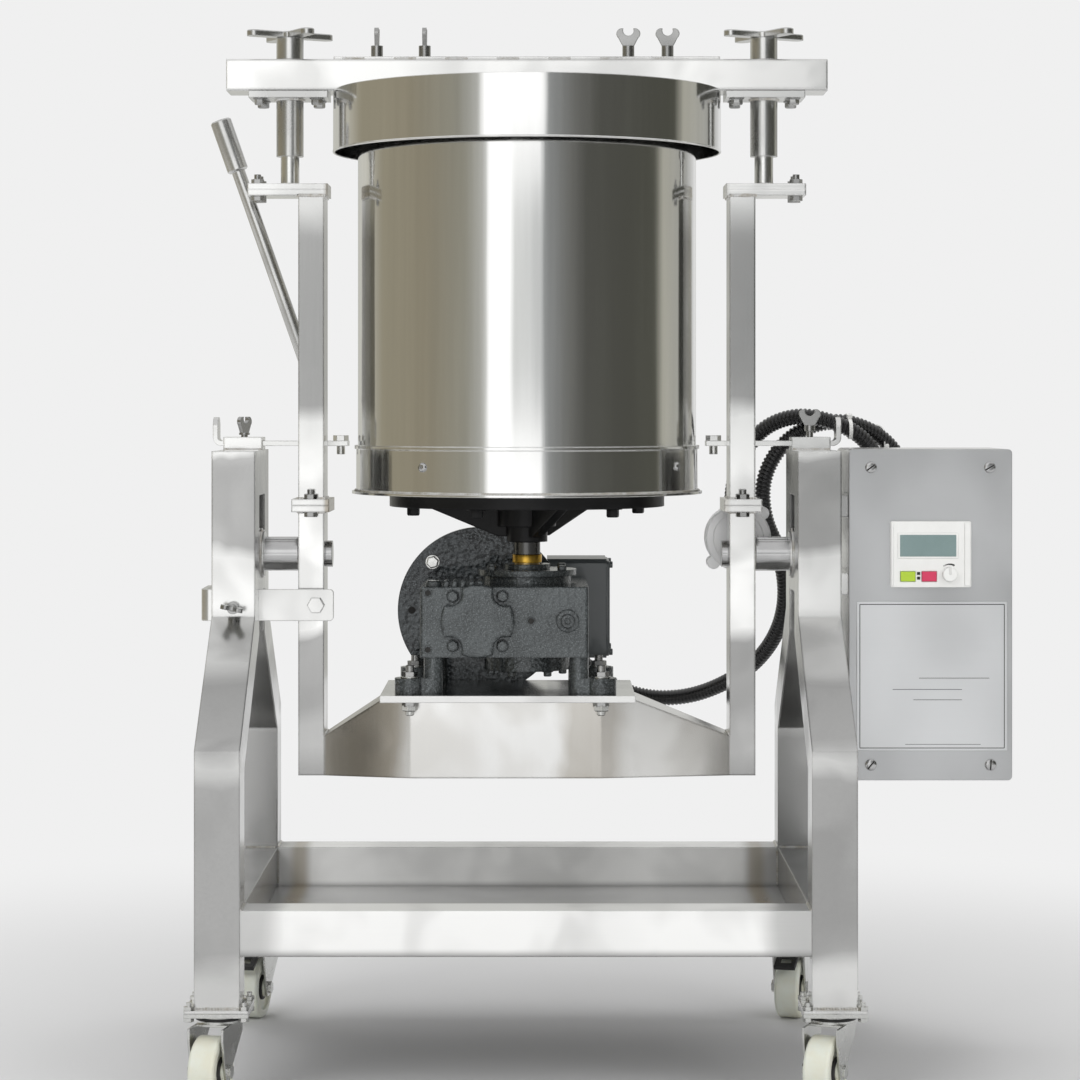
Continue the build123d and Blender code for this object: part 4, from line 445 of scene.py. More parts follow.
def black_enamel(f, colours, sizes):
    """Black enamel over a sand casting."""
    sand = f.noise(240.0, 4.0, 0.6)
    runs = f.noise(26.0, 3.0, 0.5)
    return f.surface(
        Base_Color=f.tones(runs, colours.enamel, 0.25, 0.7),
        Roughness=0.24 + 0.14 * runs + 0.06 * sand,
        Specular_IOR_Level=0.2,
        Normal=f.bump(sand * (0.18 * MM) + runs * (0.6 * MM), sizes.edge),
    )


def hammered_paint(f, colours, sizes, tone, pitch, depth):
    """Hammered lacquer: a dark metallic coat that has drawn into small smooth dimples, with painted glints of
    lighter grey.
    """
    tone = tinted(colours, tone)
    dimples = f.cells(1.0 / pitch, "SMOOTH_F1")
    grain = f.noise(0.45 / pitch, 2.0, 0.5, warp=0.5)
    # Painted glints: small spots of much lighter grey in the colour.
    painted_glint = f.noise(2.6 / pitch, 2.0, 0.5, warp=0.3).smooth(0.46, 0.80)
    flow = f.noise(18.0, 3.0, 0.5).smooth(0.3, 0.7)
    ground = f.tones(flow, tone, 0.45, 0.85)
    return f.surface(
        Base_Color=f.mix(painted_glint, ground, shade(tone, 2.1)),
        Metallic=0.5,
        Roughness=0.17 + 0.08 * grain + 0.06 * flow,
        Coat_Weight=0.4,
        Normal=f.bump(dimples * (depth * 1.5 * MM) + grain * (depth * 1.2 * MM), sizes.edge),
    )


def turned_steel(f, colours, sizes):
    """Turned steel with fine tool rings."""
    rings = f.noise(1.0, 2.0, 0.5, (2600, 40, 40))
    stain = f.noise(30.0, 2.0, 0.5)
    return f.surface(
        Base_Color=f.tones(stain, colours.shaft, 0.75, 1.05),
        Metallic=1.0,
        Roughness=0.12 + 0.08 * rings,
        Normal=f.bump(rings * (0.004 * MM), sizes.edge / 2),
    )


def machined_bronze(f, colours, sizes, tone):
    """Machined copper alloy, browner where oil has dried."""
    tone = tinted(colours, tone)
    rings = f.noise(1.0, 2.0, 0.5, (300, 300, 2200))
    stain = f.noise(55.0, 4.0, 0.6)
    return f.surface(
        Base_Color=f.tones(stain.smooth(0.35, 0.7), tone, 0.65, 1.15),
        Metallic=1.0,
        Roughness=0.22 + 0.16 * stain,
        Normal=f.bump(rings * (0.015 * MM), sizes.edge / 3),
    )


def honed_granite(f, colours, sizes):
    """Honed granite with pale feldspar, grey quartz and black mica."""
    grains = f.cell_tones(260.0)
    mica = f.cells(420.0)
    cloud = f.noise(30.0, 4.0, 0.6)
    pale = grains * 0.75 + cloud * 0.25
    ground = f.tones(pale, colours.granite, 0.45, 1.75)
    return f.surface(
        Base_Color=f.mix(mica.smooth(0.10, 0.24), (0.03, 0.03, 0.032), ground),
        Roughness=0.38 + 0.2 * grains,
        Normal=f.bump(grains * (0.03 * MM) + cloud * (0.05 * MM), sizes.edge),
    )


def moulded(f, colours, sizes, tone, rough, grain, coat=0.0):
    """Moulded plastic with a fine spark-eroded grain and slight flow marks; also smooth paint on a box."""
    tone = tinted(colours, tone)
    spark = f.noise(1600.0, 2.0, 0.5)
    flow = f.noise(45.0, 4.0, 0.6, warp=0.5)
    return f.surface(
        Base_Color=f.tones(flow * 0.7 + spark * 0.3, tone, 0.88, 1.08),
        Roughness=rough + 0.12 * flow + 0.06 * spark,
        Coat_Weight=coat,
        Normal=f.bump(spark * (grain * MM) + flow * (0.03 * MM), sizes.edge / 2),
    )


def cast_nylon(f, colours, sizes):
    """Off-white nylon, creamier in patches, with a slightly soiled tread."""
    age = f.noise(28.0, 4.0, 0.6)
    dust = f.noise(210.0, 5.0, 0.7, warp=0.4)
    aged = f.mix(age.smooth(0.3, 0.7), (0.76, 0.79, 0.71), shade(colours.nylon, 0.95))
    return f.surface(
        Base_Color=f.mix(dust.smooth(0.6, 0.8) * 0.3, aged, (0.50, 0.48, 0.40)),
        Roughness=0.26 + 0.16 * dust,
        Subsurface_Weight=0.1,
        Subsurface_Radius=(0.006, 0.006, 0.004),
        Normal=f.bump(dust * (0.04 * MM), sizes.edge / 2),
    )


def weld_metal(f, colours, sizes):
    """Weld bead: bright ripples with straw and grey heat tint."""
    heat = f.noise(90.0, 3.0, 0.6, warp=0.5)
    pits = f.noise(700.0, 3.0, 0.6)
    return f.surface(
        Base_Color=f.mix(heat.smooth(0.35, 0.7), shade(colours.tube, 0.95), (0.46, 0.43, 0.38)),
        Metallic=1.0,
        Roughness=0.24 + 0.16 * pits,
        Normal=f.bump(pits * (0.04 * MM)),
    )


def display_lens(f, colours, sizes):
    """Grey-green liquid crystal behind a clear window, with a faint dot raster."""
    raster = f.cells(1500.0)
    glow = f.noise(40.0, 2.0, 0.5)
    pale = raster.smooth(0.15, 0.5) * 0.5 + glow * 0.5
    return f.surface(
        Base_Color=f.mix(pale, (0.15, 0.215, 0.21), (0.225, 0.31, 0.305)),
        Roughness=0.10 + 0.06 * glow,
        Coat_Weight=0.6,
    )


def dark_socket(f, colours, sizes):
    """Near-black painted shade in the bottom of slots and tapped holes; also dark print."""
    grime = f.noise(400.0, 4.0, 0.6)
    return f.surface(
        Base_Color=f.mix(grime, (0.012, 0.012, 0.012), (0.05, 0.048, 0.045)),
        Metallic=0.4,
        Roughness=0.5 + 0.3 * grime,
    )


# Stretch of the buffing lines along each axis.
LEVEL_LINES, UPRIGHT_LINES = (10, 700, 700), (700, 700, 10)
TUBE_LINES, PLATE_LINES = (260, 260, 260), (420, 90, 420)
# Options that small fittings, matt mouldings and button caps share.
FITTING = dict(stretch=(300, 300, 300), wave=0.3, rough=0.20, ease=2)
MATT = dict(rough=0.40, grain=0.02)
CAP = dict(rough=0.22, grain=0.005, coat=0.3)

FINISHES = {
    "polished_sheet": (polished_sheet, {}),
    # The grey tables that ground steel takes below are painted reflection.
    "tube_steel": (ground_steel, dict(stretch=TUBE_LINES, wave=1.1, polish=STAND_REFLECTION_BANDS)),
    "upright_steel": (
        ground_steel, dict(stretch=UPRIGHT_LINES, rough=0.14, polish=CRADLE_REFLECTION_BANDS, yoke=YOKE_REFLECTION_BANDS)),
    # Rail steel: its tone is lifted above the tube's own as painted light.
    "rail_steel": (ground_steel, dict(
        stretch=LEVEL_LINES, tone=("tube", 1.15), axis="X", polish=RAIL_REFLECTION_BANDS, metal=0.3, tray=TRAY_FLOOR)),
    "beam_steel": (ground_steel, dict(stretch=LEVEL_LINES, rough=0.14, axis="X", polish=BEAM_REFLECTION_BANDS)),
    "plate_steel": (ground_steel, dict(stretch=PLATE_LINES, wave=0.5, rough=0.16, ease=2)),
    "hand_steel": (ground_steel, dict(FITTING, tone=("tube", 0.86))),
    "bolt_steel": (ground_steel, dict(FITTING, tone=("tube", 0.55))),
    "oiled_steel": (ground_steel, dict(FITTING, wave=0.2, rough=0.22, tone=("tube", 0.16), ease=3)),
    "turned_steel": (turned_steel, {}),
    "brushed_panel": (brushed_sheet, dict(dark=0.56, light=0.86)),
    "brushed_plate": (brushed_sheet, dict(dark=0.84, light=1.10)),
    "zinc_plate": (zinc_plate, {}),
    "black_enamel": (black_enamel, {}),
    "hammered_housing": (hammered_paint, dict(tone=("hammer", 1.0), pitch=0.0036, depth=0.60)),
    "hammered_motor": (hammered_paint, dict(tone=("motor", 0.85), pitch=0.0046, depth=0.90)),
    "machined_bronze": (machined_bronze, dict(tone=("bronze", 1.0))),
    "bright_brass": (machined_bronze, dict(tone=("brass", 1.0))),
    "honed_granite": (honed_granite, {}),
    "cast_nylon": (cast_nylon, {}),
    "box_paint": (moulded, dict(tone=("hammer", 0.8), rough=0.26, grain=0.01, coat=0.3)),
    "black_nylon": (moulded, dict(tone=("black", 1.0), rough=0.42, grain=0.02)),
    "hose_plastic": (moulded, dict(tone=("hose", 0.5), rough=0.10, grain=0.005, coat=0.25)),
    "grey_moulding": (moulded, dict(MATT, tone=("grey", 1.0))),
    # Grey moulding lightened well past its own tone as painted light, for a box that sits in shadow.
    "pale_moulding": (moulded, dict(MATT, tone=("grey", 1.7))),
    "white_moulding": (moulded, dict(tone=("white", 1.0), rough=0.30, grain=0.01, coat=0.2)),
    "green_cap": (moulded, dict(CAP, tone=("green", 1.0))),
    "red_cap": (moulded, dict(CAP, tone=("red", 1.0))),
    "weld_metal": (weld_metal, {}),
    "display_lens": (display_lens, {}),
    "dark_socket": (dark_socket, {}),
}

NODE_FINISHES = {
    "polished_sheet": ("drum_shell", "lid"),
    "tube_steel": ("left_side_frame", "right_side_frame", "control_box"),
    "upright_steel": ("lower_frame", "upper_uprights"),
    "rail_steel": ("cross_rails",),
    "beam_steel": ("bridge_beam",),
    "plate_steel": (
        "bearing_blocks", "motor_plate", "roller_yoke", "latch_bar_left", "latch_bar_right", "stop_bar",
    ),
    "hand_steel": ("tilt_lever", "handwheel_left", "handwheel_right", "column_sleeves"),
    "bolt_steel": (
        "cradle_bolts", "wing_bolt_1", "wing_bolt_2", "wing_bolt_3", "wing_bolt_4",
        "latch_screw_left", "latch_screw_right", "stop_screw",
    ),
    "turned_steel": ("trunnion_shafts", "worm_shaft"),
    "brushed_panel": ("control_panel",),
    "zinc_plate": ("caster_plates", "caster_bolts", *("caster_fork_" + corner for corner in CORNERS)),
    "black_enamel": ("drum_hub",),
    "hammered_housing": ("gearbox_housing", "gearbox_covers"),
    "hammered_motor": ("motor_frame", "fan_cover"),
    "box_paint": ("terminal_box",),
    "machined_bronze": ("worm_wheel",),
    "honed_granite": ("base_stone", "roller_stone_left", "roller_stone_right"),
    "cast_nylon": tuple("caster_wheel_" + corner for corner in CORNERS),
    "black_nylon": ("brake_pedal_rear_left", "brake_pedal_rear_right"),
    "grey_moulding": ("cable_glands",),
    # The junction box takes the grey moulding lightened as painted light.
    "pale_moulding": ("junction_box",),
    "white_moulding": ("keypad", "speed_knob"),
    "green_cap": ("start_button",),
    "red_cap": ("stop_button",),
}


def finish(context, name):
    """The finish of that name, made when it is first asked for."""
    made = bpy.data.materials.get(name)
    if made:
        return made
    make, options = FINISHES[name]
    return make(Finish(name), context.scene.melanger_colours, context.scene.melanger_sizes, **options)


# Meshes
class Mould:
    """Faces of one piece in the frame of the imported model; sizes of its forms are in millimetres."""

    def __init__(self):
        self.mesh = bmesh.new()

    def skin(self, rings, place=Matrix(), closed=False):
        """Skin over a stack of rings that have the same number of points, in metres."""
        rows = [[self.mesh.verts.new(place @ Vector(point)) for point in ring] for ring in rings]
        pairs = list(zip(rows, rows[1:]))
        if closed:
            pairs.append((rows[-1], rows[0]))
        for low, high in pairs:
            for index in range(len(low)):
                after = (index + 1) % len(low)
                self.mesh.faces.new((low[index], low[after], high[after], high[index]))
        if not closed:
            self.mesh.faces.new(rows[0][::-1])
            self.mesh.faces.new(rows[-1])

    def turn(self, outline, place=Matrix(), steps=32):
        """Turned form about Z from (radius, height) points."""
        self.skin([circle(radius, height, steps) for radius, height in outline], place)

    def slab(self, extent, place, corner, edge):
        """Plate of a width, height and thickness, with rounded corners and an eased front, on Z = 0."""
        width, height, thick = extent
        inner = max(corner - edge, 0.1)
        self.skin([
            rounded(width, height, corner, 0),
            rounded(width, height, corner, thick - edge),
            rounded(width - 2 * edge, height - 2 * edge, inner, thick),
        ], place)

    def hexagon(self, place, width, height, washer=0.0):
        """Chamfered hexagon head or nut, on a washer of the given radius."""
        base = 0.0
        if washer:
            base = 1.4
            self.turn([(washer, 0), (washer, base * 0.7), (washer - 0.4, base)], place, 28)
        radius = width / math.sqrt(3)
        crown = base + height
        outline = ((radius, base), (radius, crown - height * 0.2), (radius * 0.86, crown))
        self.turn(outline, place, 6)

    def socket_head(self, place, outline, socket, depth):
        """Turned head from (radius, height) points, with a hexagon socket sunk in its top."""
        top = outline[-1][1]
        rings = [circle(radius, height, 36) for radius, height in outline]
        self.skin(rings + [hexed(socket, top, 36), hexed(socket, top - depth, 36)], place)

    def slotted_head(self, place, radius, height, slot):
        """Round head with a straight slot across it."""
        rims = ((1, 0.45), (1, 0.6), (0.86, 0.9), (0.6, 1))
        self.turn([(radius, 0), (radius, height * rims[0][1])], place)
        for half_turn in (0, 180):
            spin = place @ Matrix.Rotation(math.radians(half_turn), 4, "Z")
            self.skin([half_moon(radius * part, slot / 2, height * level) for part, level in rims], spin)

    def bead(self, path, leg, ripple):
        """Rippled weld along a line of points, in metres."""
        points = [Vector(point) for point in path]
        length = line_length(points)
        parts = len(BEAD_SWELL)
        count = max(3, round(length / ripple)) * parts
        line = stations(points, [length * step / count for step in range(count + 1)])
        radii = [
            leg * (BEAD_SWELL[step % parts] + BEAD_WANDER * noise.noise(here * BEAD_GRAIN))
            for step, (here, _) in enumerate(line)
        ]
        self.skin(carried_rings(line, radii, 8))

    def band(self, ring, axis, width, thick):
        """Flat band round a closed ring of (point, outward) pairs, its width along an axis."""
        across, rise = axis * (width * MM / 2), thick * MM
        self.skin([
            [point - across, point + across, point + normal * rise + across, point + normal * rise - across]
            for point, normal in ring
        ], closed=True)

    def piece(self, context, name, material, body, slot):
        """Close the mesh into an object that rides on a body."""
        bmesh.ops.recalc_face_normals(self.mesh, faces=self.mesh.faces)
        mesh = bpy.data.meshes.new(name)
        self.mesh.to_mesh(mesh)
        self.mesh.free()
        mesh.shade_smooth()
        mesh.set_sharp_from_angle(angle=math.radians(35))
        mesh.materials.append(finish(context, material))
        made = bpy.data.objects.new(name, mesh)
        context.scene.collection.objects.link(made)
        if body:
            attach(made, body)
        return made


def round_turns(steps):
    """Equal turns round a circle, in radians."""
    return [2 * math.pi * step / steps for step in range(steps)]


def arc(radius, level, turns):
    """Points in metres at a radius and a height in millimetres, one for each turn about Z."""
    return [(radius * MM * math.cos(turn), radius * MM * math.sin(turn), level * MM) for turn in turns]


def circle(radius, level, steps):
    """Ring of points about Z, as for an arc."""
    return arc(radius, level, round_turns(steps))


def half_moon(radius, gap, level, steps=14):
    """Ring of points round the part of a disc that lies beyond a gap, as for an arc."""
    start = math.asin(min(0.9, gap / radius))
    return arc(radius, level, [start + (math.pi - 2 * start) * step / steps for step in range(steps + 1)])


def hexed(flat, level, steps):
    """Ring of points round a hexagon, given half its width across flats, as for an arc."""
    points = []
    for turn in round_turns(steps):
        points += arc(flat / math.cos(turn % (math.pi / 3) - math.pi / 6), level, [turn])
    return points


def rounded(width, height, corner, level, steps=5):
    """Ring of points round a rectangle with rounded corners; sizes in millimetres, points in metres."""
    points = []
    for quarter, (sx, sy) in enumerate(((1, 1), (-1, 1), (-1, -1), (1, -1))):
        for step in range(steps + 1):
            turn = math.radians(90 * (quarter + step / steps))
            x = sx * (width / 2 - corner) + corner * math.cos(turn)
            y = sy * (height / 2 - corner) + corner * math.sin(turn)
            points.append((x * MM, y * MM, level * MM))
    return points


def mm(x, y, z):
    """Point given in millimetres."""
    return Vector((x, y, z)) * MM


def straight(start, end):
    """Straight line between two points, in millimetres."""
    return [mm(*start), mm(*end)]


def stitches(starts, length, y, z):
    """Row of short straight lines along X, in millimetres."""
    return [straight((start, y, z), (start + length, y, z)) for start in starts]


def hoop(centre, radius, axis, steps=72):
    """Closed line of points round a circle about an axis, in millimetres."""
    side = Z if abs(axis.z) < 0.5 else X
    across = axis.cross(side)
    turns = [*round_turns(steps), 2 * math.pi]
    return [mm(*centre) + radius * MM * (math.cos(turn) * side + math.sin(turn) * across) for turn in turns]


def oblong(x_pair, y_pair, z):
    """Closed level line round a rectangle, in millimetres."""
    (left, right), (front, back) = x_pair, y_pair
    corners = ((left, front), (right, front), (right, back), (left, back), (left, front))
    return [mm(x, y, z) for x, y in corners]


def facing(origin, direction, spin=0.0):
    """Placing of a fastener: its Z axis along a direction, turned about it."""
    turn = Vector(direction).to_track_quat("Z", "Y").to_matrix().to_4x4()
    return Matrix.Translation(Vector(origin)) @ turn @ Matrix.Rotation(math.radians(spin), 4, "Z")


def fronting(x, y, z, spin=0.0):
    """Placing on a face that looks to the front, at a point in millimetres."""
    return facing(mm(x, y, z), -Y, spin)


def outward(bearing, radius, z):
    """Placing on an upright cylinder, by its bearing in degrees from the front."""
    turn = math.radians(bearing)
    direction = Vector((math.sin(turn), -math.cos(turn), 0))
    return facing(direction * radius * MM + Z * z * MM, direction)


def line_length(points):
    """Length of a line of points."""
    return sum((after - before).length for before, after in zip(points, points[1:]))


def spline_points(route):
    """Points along the NURBS line that has the route as its control points."""
    curve = bpy.data.curves.new("route", "CURVE")
    curve.dimensions = "3D"
    spline = curve.splines.new("NURBS")
    spline.points.add(len(route) - 1)
    for point, place in zip(spline.points, route):
        point.co = (*place, 1.0)
    spline.order_u = 3
    spline.use_endpoint_u = True
    spline.resolution_u = 24
    holder = bpy.data.objects.new("route", curve)
    mesh = bpy.data.meshes.new_from_object(holder)
    points = [vertex.co.copy() for vertex in mesh.vertices]
    bpy.data.objects.remove(holder)
    bpy.data.curves.remove(curve)
    bpy.data.meshes.remove(mesh)
    return points


def stations(points, places):
    """Point and direction at each distance along a line of points."""
    runs = [(after - before).length for before, after in zip(points, points[1:])]
    found = []
    index = 0
    passed = 0.0
    for place in places:
        while index < len(runs) - 1 and passed + runs[index] < place:
            passed += runs[index]
            index += 1
        part = min(1.0, (place - passed) / runs[index])
        here = points[index].lerp(points[index + 1], part)
        before = points[max(index - 1, 0)]
        after = points[min(index + 2, len(points) - 1)]
        ahead = (points[index + 1] - before).lerp(after - points[index], part)
        found.append((here, ahead.normalized()))
    return found


def carried_rings(line, radii, steps):
    """Rings round a line, turned as little as possible from one to the next."""
    side = X.cross(line[0][1])
    side = side.normalized() if side.length > 0.1 else Z.cross(line[0][1]).normalized()
    turns = round_turns(steps)
    rings = []
    for (here, ahead), radius in zip(line, radii):
        side = (side - ahead * side.dot(ahead)).normalized()
        across = ahead.cross(side)
        rings.append([here + radius * (math.cos(turn) * side + math.sin(turn) * across) for turn in turns])
    return rings


# Operators
class MelangerCamera(bpy.types.Operator):
    """Camera level with the lower part of the drum, in front of the machine"""

    bl_idname = "melanger.camera"
    bl_label = "Camera"

    def execute(self, context):
        studio = context.scene.melanger_studio
        lens = bpy.data.cameras.new("front_camera")
        lens.lens = studio.lens
        lens.sensor_width = 36.0
        lens.shift_y = -studio.drop
        camera = bpy.data.objects.new("front_camera", lens)
        camera.location = (studio.offset, -studio.distance, studio.height)
        camera.rotation_euler = (math.radians(90), 0, 0)
        context.scene.collection.objects.link(camera)
        context.scene.camera = camera
        return {"FINISHED"}


class MelangerConduits(bpy.types.Operator):
    """Corrugated hoses from motor and junction box to the control box"""

    bl_idname = "melanger.conduits"
    bl_label = "Conduits"

    def execute(self, context):
        self.hose(context, "motor_hose", "motor_conduit", MOTOR_ROUTE, fixed_x=0.330, moving_x=0.130)
        self.hose(context, "junction_hose", "junction_conduit", JUNCTION_ROUTE, fixed_x=0.385, moving_x=0.260)
        return {"FINISHED"}

    def hose(self, context, name, node, route, fixed_x, moving_x):
        sizes = context.scene.melanger_sizes
        outer = sizes.conduit / 2
        points = spline_points(route)
        length = line_length(points)
        ribs = round(length / sizes.rib_pitch)
        marks = [(rib + part, part_radius) for rib in range(ribs) for part, part_radius in RIB]
        marks.append((ribs, RIB[0][1]))
        line = stations(points, [mark * length / ribs for mark, _ in marks])
        mould = Mould()
        mould.skin(carried_rings(line, [outer * part for _, part in marks], 20))
        made = mould.piece(context, name, "hose_plastic", None, "conduit_plastic")
        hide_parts(node)
        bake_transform(made)


class MelangerTies(bpy.types.Operator):
    """Cable ties that hold the two hoses together behind the right side frame"""

    bl_idname = "melanger.ties"
    bl_label = "Cable ties"

    # Gap between hose and tie and rise of the tie's head, in millimetres; steps of a half turn.
    GAP, HEAD_RISE, STEPS = 0.3, 1.2, 16

    def execute(self, context):
        outer = context.scene.melanger_sizes.conduit / 2 + self.GAP * MM
        lines = [
            [point for point in spline_points(route) if point.z > TIE_ABOVE]
            for route in (MOTOR_ROUTE, JUNCTION_ROUTE)
        ]
        ties = Mould()
        for x in TIE_X:
            first, second = [min(line, key=lambda point: abs(point.x - x)) for line in lines]
            apart = (second - first).normalized()
            axis = apart.cross(Z if abs(apart.z) < 0.8 else X).normalized()
            lift = axis.cross(apart)
            ring = []
            for centre, away, side in ((first, -apart, -lift), (second, apart, lift)):
                for step in range(self.STEPS + 1):
                    turn = math.pi * step / self.STEPS
                    normal = math.cos(turn) * side + math.sin(turn) * away
                    ring.append((centre + outer * normal, normal))
            ties.band(ring, axis, width=4.6, thick=1.3)
            head = first.lerp(second, 0.5) + lift * (outer + self.HEAD_RISE * MM)
            ties.slab((7, 6, 4.6), facing(head, lift), corner=1, edge=0.6)
        ties.piece(context, "cable_ties", "white_moulding", "stand", "white_plastic")
        return {"FINISHED"}


def stand_seams():
    """Weld lines of the stand."""
    seams = []
    for side in SIDES:
        x, inner = side * LEG_X, side * (LEG_X - LEG_HALF)
        for end in SIDES:
            y, near = end * LEG_Y, end * (LEG_Y - LEG_HALF)
            for z in RAIL_Z:
                seams.append(straight((inner, y - RAIL_SEAM, z), (inner, y + RAIL_SEAM, z)))
                seams += stitches([x - LEG_SEAM], 2 * LEG_SEAM, near, z)
            low, high = RAIL_Z[0] + RAIL_MARGIN, RAIL_Z[1] - RAIL_MARGIN
            seams.append(straight((inner, near, low), (inner, near, high)))
            seams.append(oblong((x - LEG_HALF, x + LEG_HALF), (y - LEG_HALF, y + LEG_HALF), PAD_Z))
            for z in BEARING_Z:
                seams += stitches([x - LEG_SEAM], 2 * LEG_SEAM, end * HEAD_Y, z)
        for y in GUIDE_Y:
            seams += stitches([x - GUIDE_SEAM], 2 * GUIDE_SEAM, y, CAP_Z)
        seams.append(hoop((inner, 0, TRUNNION_Z), FLANGE_RADIUS, X))
    return seams


def cradle_seams():
    """Weld lines of the tilting cradle."""
    seams = stitches(starts=range(-128, 41, 56), length=34, y=PLATE_SEAM_Y, z=PLATE_Z)
    for side in SIDES:
        inner, outer = side * UPRIGHT_X[0], side * UPRIGHT_X[1]
        seams.append(straight((inner, -BEAM_END_SEAM, BEAM_END_Z), (inner, BEAM_END_SEAM, BEAM_END_Z)))
        for z in (*SPLICE_Z, ARM_Z[0]):
            seams.append(oblong(sorted((inner, outer)), (-UPRIGHT_HALF, UPRIGHT_HALF), z))
        seams.append(hoop((side * COLUMN_X, 0, ARM_Z[1]), COLUMN_RADIUS, Z, 36))
        seams.append(hoop((outer, 0, TRUNNION_Z), TRUNNION_RADIUS, X))
    for x in LEVER_X:
        seams.append(straight((x, UPRIGHT_HALF, LEVER_Z[0]), (x, UPRIGHT_HALF, LEVER_Z[1])))
    return seams


def bridge_seams():
    """Weld lines of the bridge."""
    seams = []
    for side in SIDES:
        for z in BRIDGE_Z:
            seams.append(hoop((side * COLUMN_X, 0, z), SLEEVE_RADIUS, Z, 48))
        seams += stitches(starts=range(-215, 200, 60), length=26, y=side * STRIP_HALF, z=BRIDGE_Z[1])
    return seams


class MelangerWelds(bpy.types.Operator):
    """Rippled fillet welds of stand, cradle, bridge and drum"""

    bl_idname = "melanger.welds"
    bl_label = "Welds"

    def execute(self, context):
        sizes = context.scene.melanger_sizes
        drum = [hoop((0, 0, BAND_FOOT_Z), BAND_RADIUS + 0.2, Z, 120)]
        for body, seams in (
            ("stand", stand_seams()), ("cradle", cradle_seams()), ("bridge", bridge_seams()), ("drum", drum),
        ):
            mould = Mould()
            for seam in seams:
                mould.bead(seam, sizes.weld, sizes.ripple)
            mould.piece(context, body + "_welds", "weld_metal", body, "brushed_steel")
        return {"FINISHED"}


class MelangerDrumTrim(bpy.types.Operator):
    """Band screws, hub bolts, thrust ring, shaft sleeve and lid hem"""

    bl_idname = "melanger.drum_trim"
    bl_label = "Drum trim"

    # Bearings in degrees from the front.
    SCREW_BEARINGS = (-35.5, 58.8, 152.0, 243.0)
    BOLT_BEARINGS = (-24.1, 45.9, 106.0, 166.0, 226.0, 286.0)
    # Outlines as (radius, height), in millimetres.
    DOME = ((5.4, 0), (5.3, 1.2), (4.4, 2.4), (2.8, 3.1))
    THRUST_RING = ((15.1, 575.3), (17, 575.3), (17.4, 575.8), (17.4, 584.4), (17, 585), (15.1, 585))
    SLEEVE = ((15.1, 585.1), (15.6, 585.1), (15.6, 599.4), (15.1, 599.9))
    HEM = (226.4, 1056.2, 1.3)  # radius, height and half the thickness of the hem

    def execute(self, context):
        screws = Mould()
        for bearing in self.SCREW_BEARINGS:
            screws.socket_head(outward(bearing, BAND_RADIUS, BAND_SCREW_Z), self.DOME, socket=1.4, depth=1.6)
        screws.piece(context, "band_screws", "turned_steel", "drum", "polished_steel")
        bolts = Mould()
        for bearing in self.BOLT_BEARINGS:
            place = outward(bearing, HUB_BOLT_RADIUS, HUB_Z).translation
            bolts.hexagon(facing(place, -Z, bearing), width=13, height=9, washer=11)
        bolts.piece(context, "hub_bolts", "black_enamel", "drum", "black_casting")
        for name, material, slot, outline in (
            ("thrust_ring", "bright_brass", "bronze", self.THRUST_RING),
            ("shaft_sleeve", "oiled_steel", "shaft_steel", self.SLEEVE),
        ):
            ring = Mould()
            ring.turn(outline, steps=48)
            ring.piece(context, name, material, "drum", slot)
        hem = Mould()
        radius, z, thick = self.HEM
        section = [(math.cos(turn), math.sin(turn)) for turn in round_turns(10)]
        hem.skin([circle(radius + thick * dx, z + thick * dz, 144) for dx, dz in section], closed=True)
        hem.piece(context, "lid_hem", "polished_sheet", "bridge", "polished_steel")
        return {"FINISHED"}


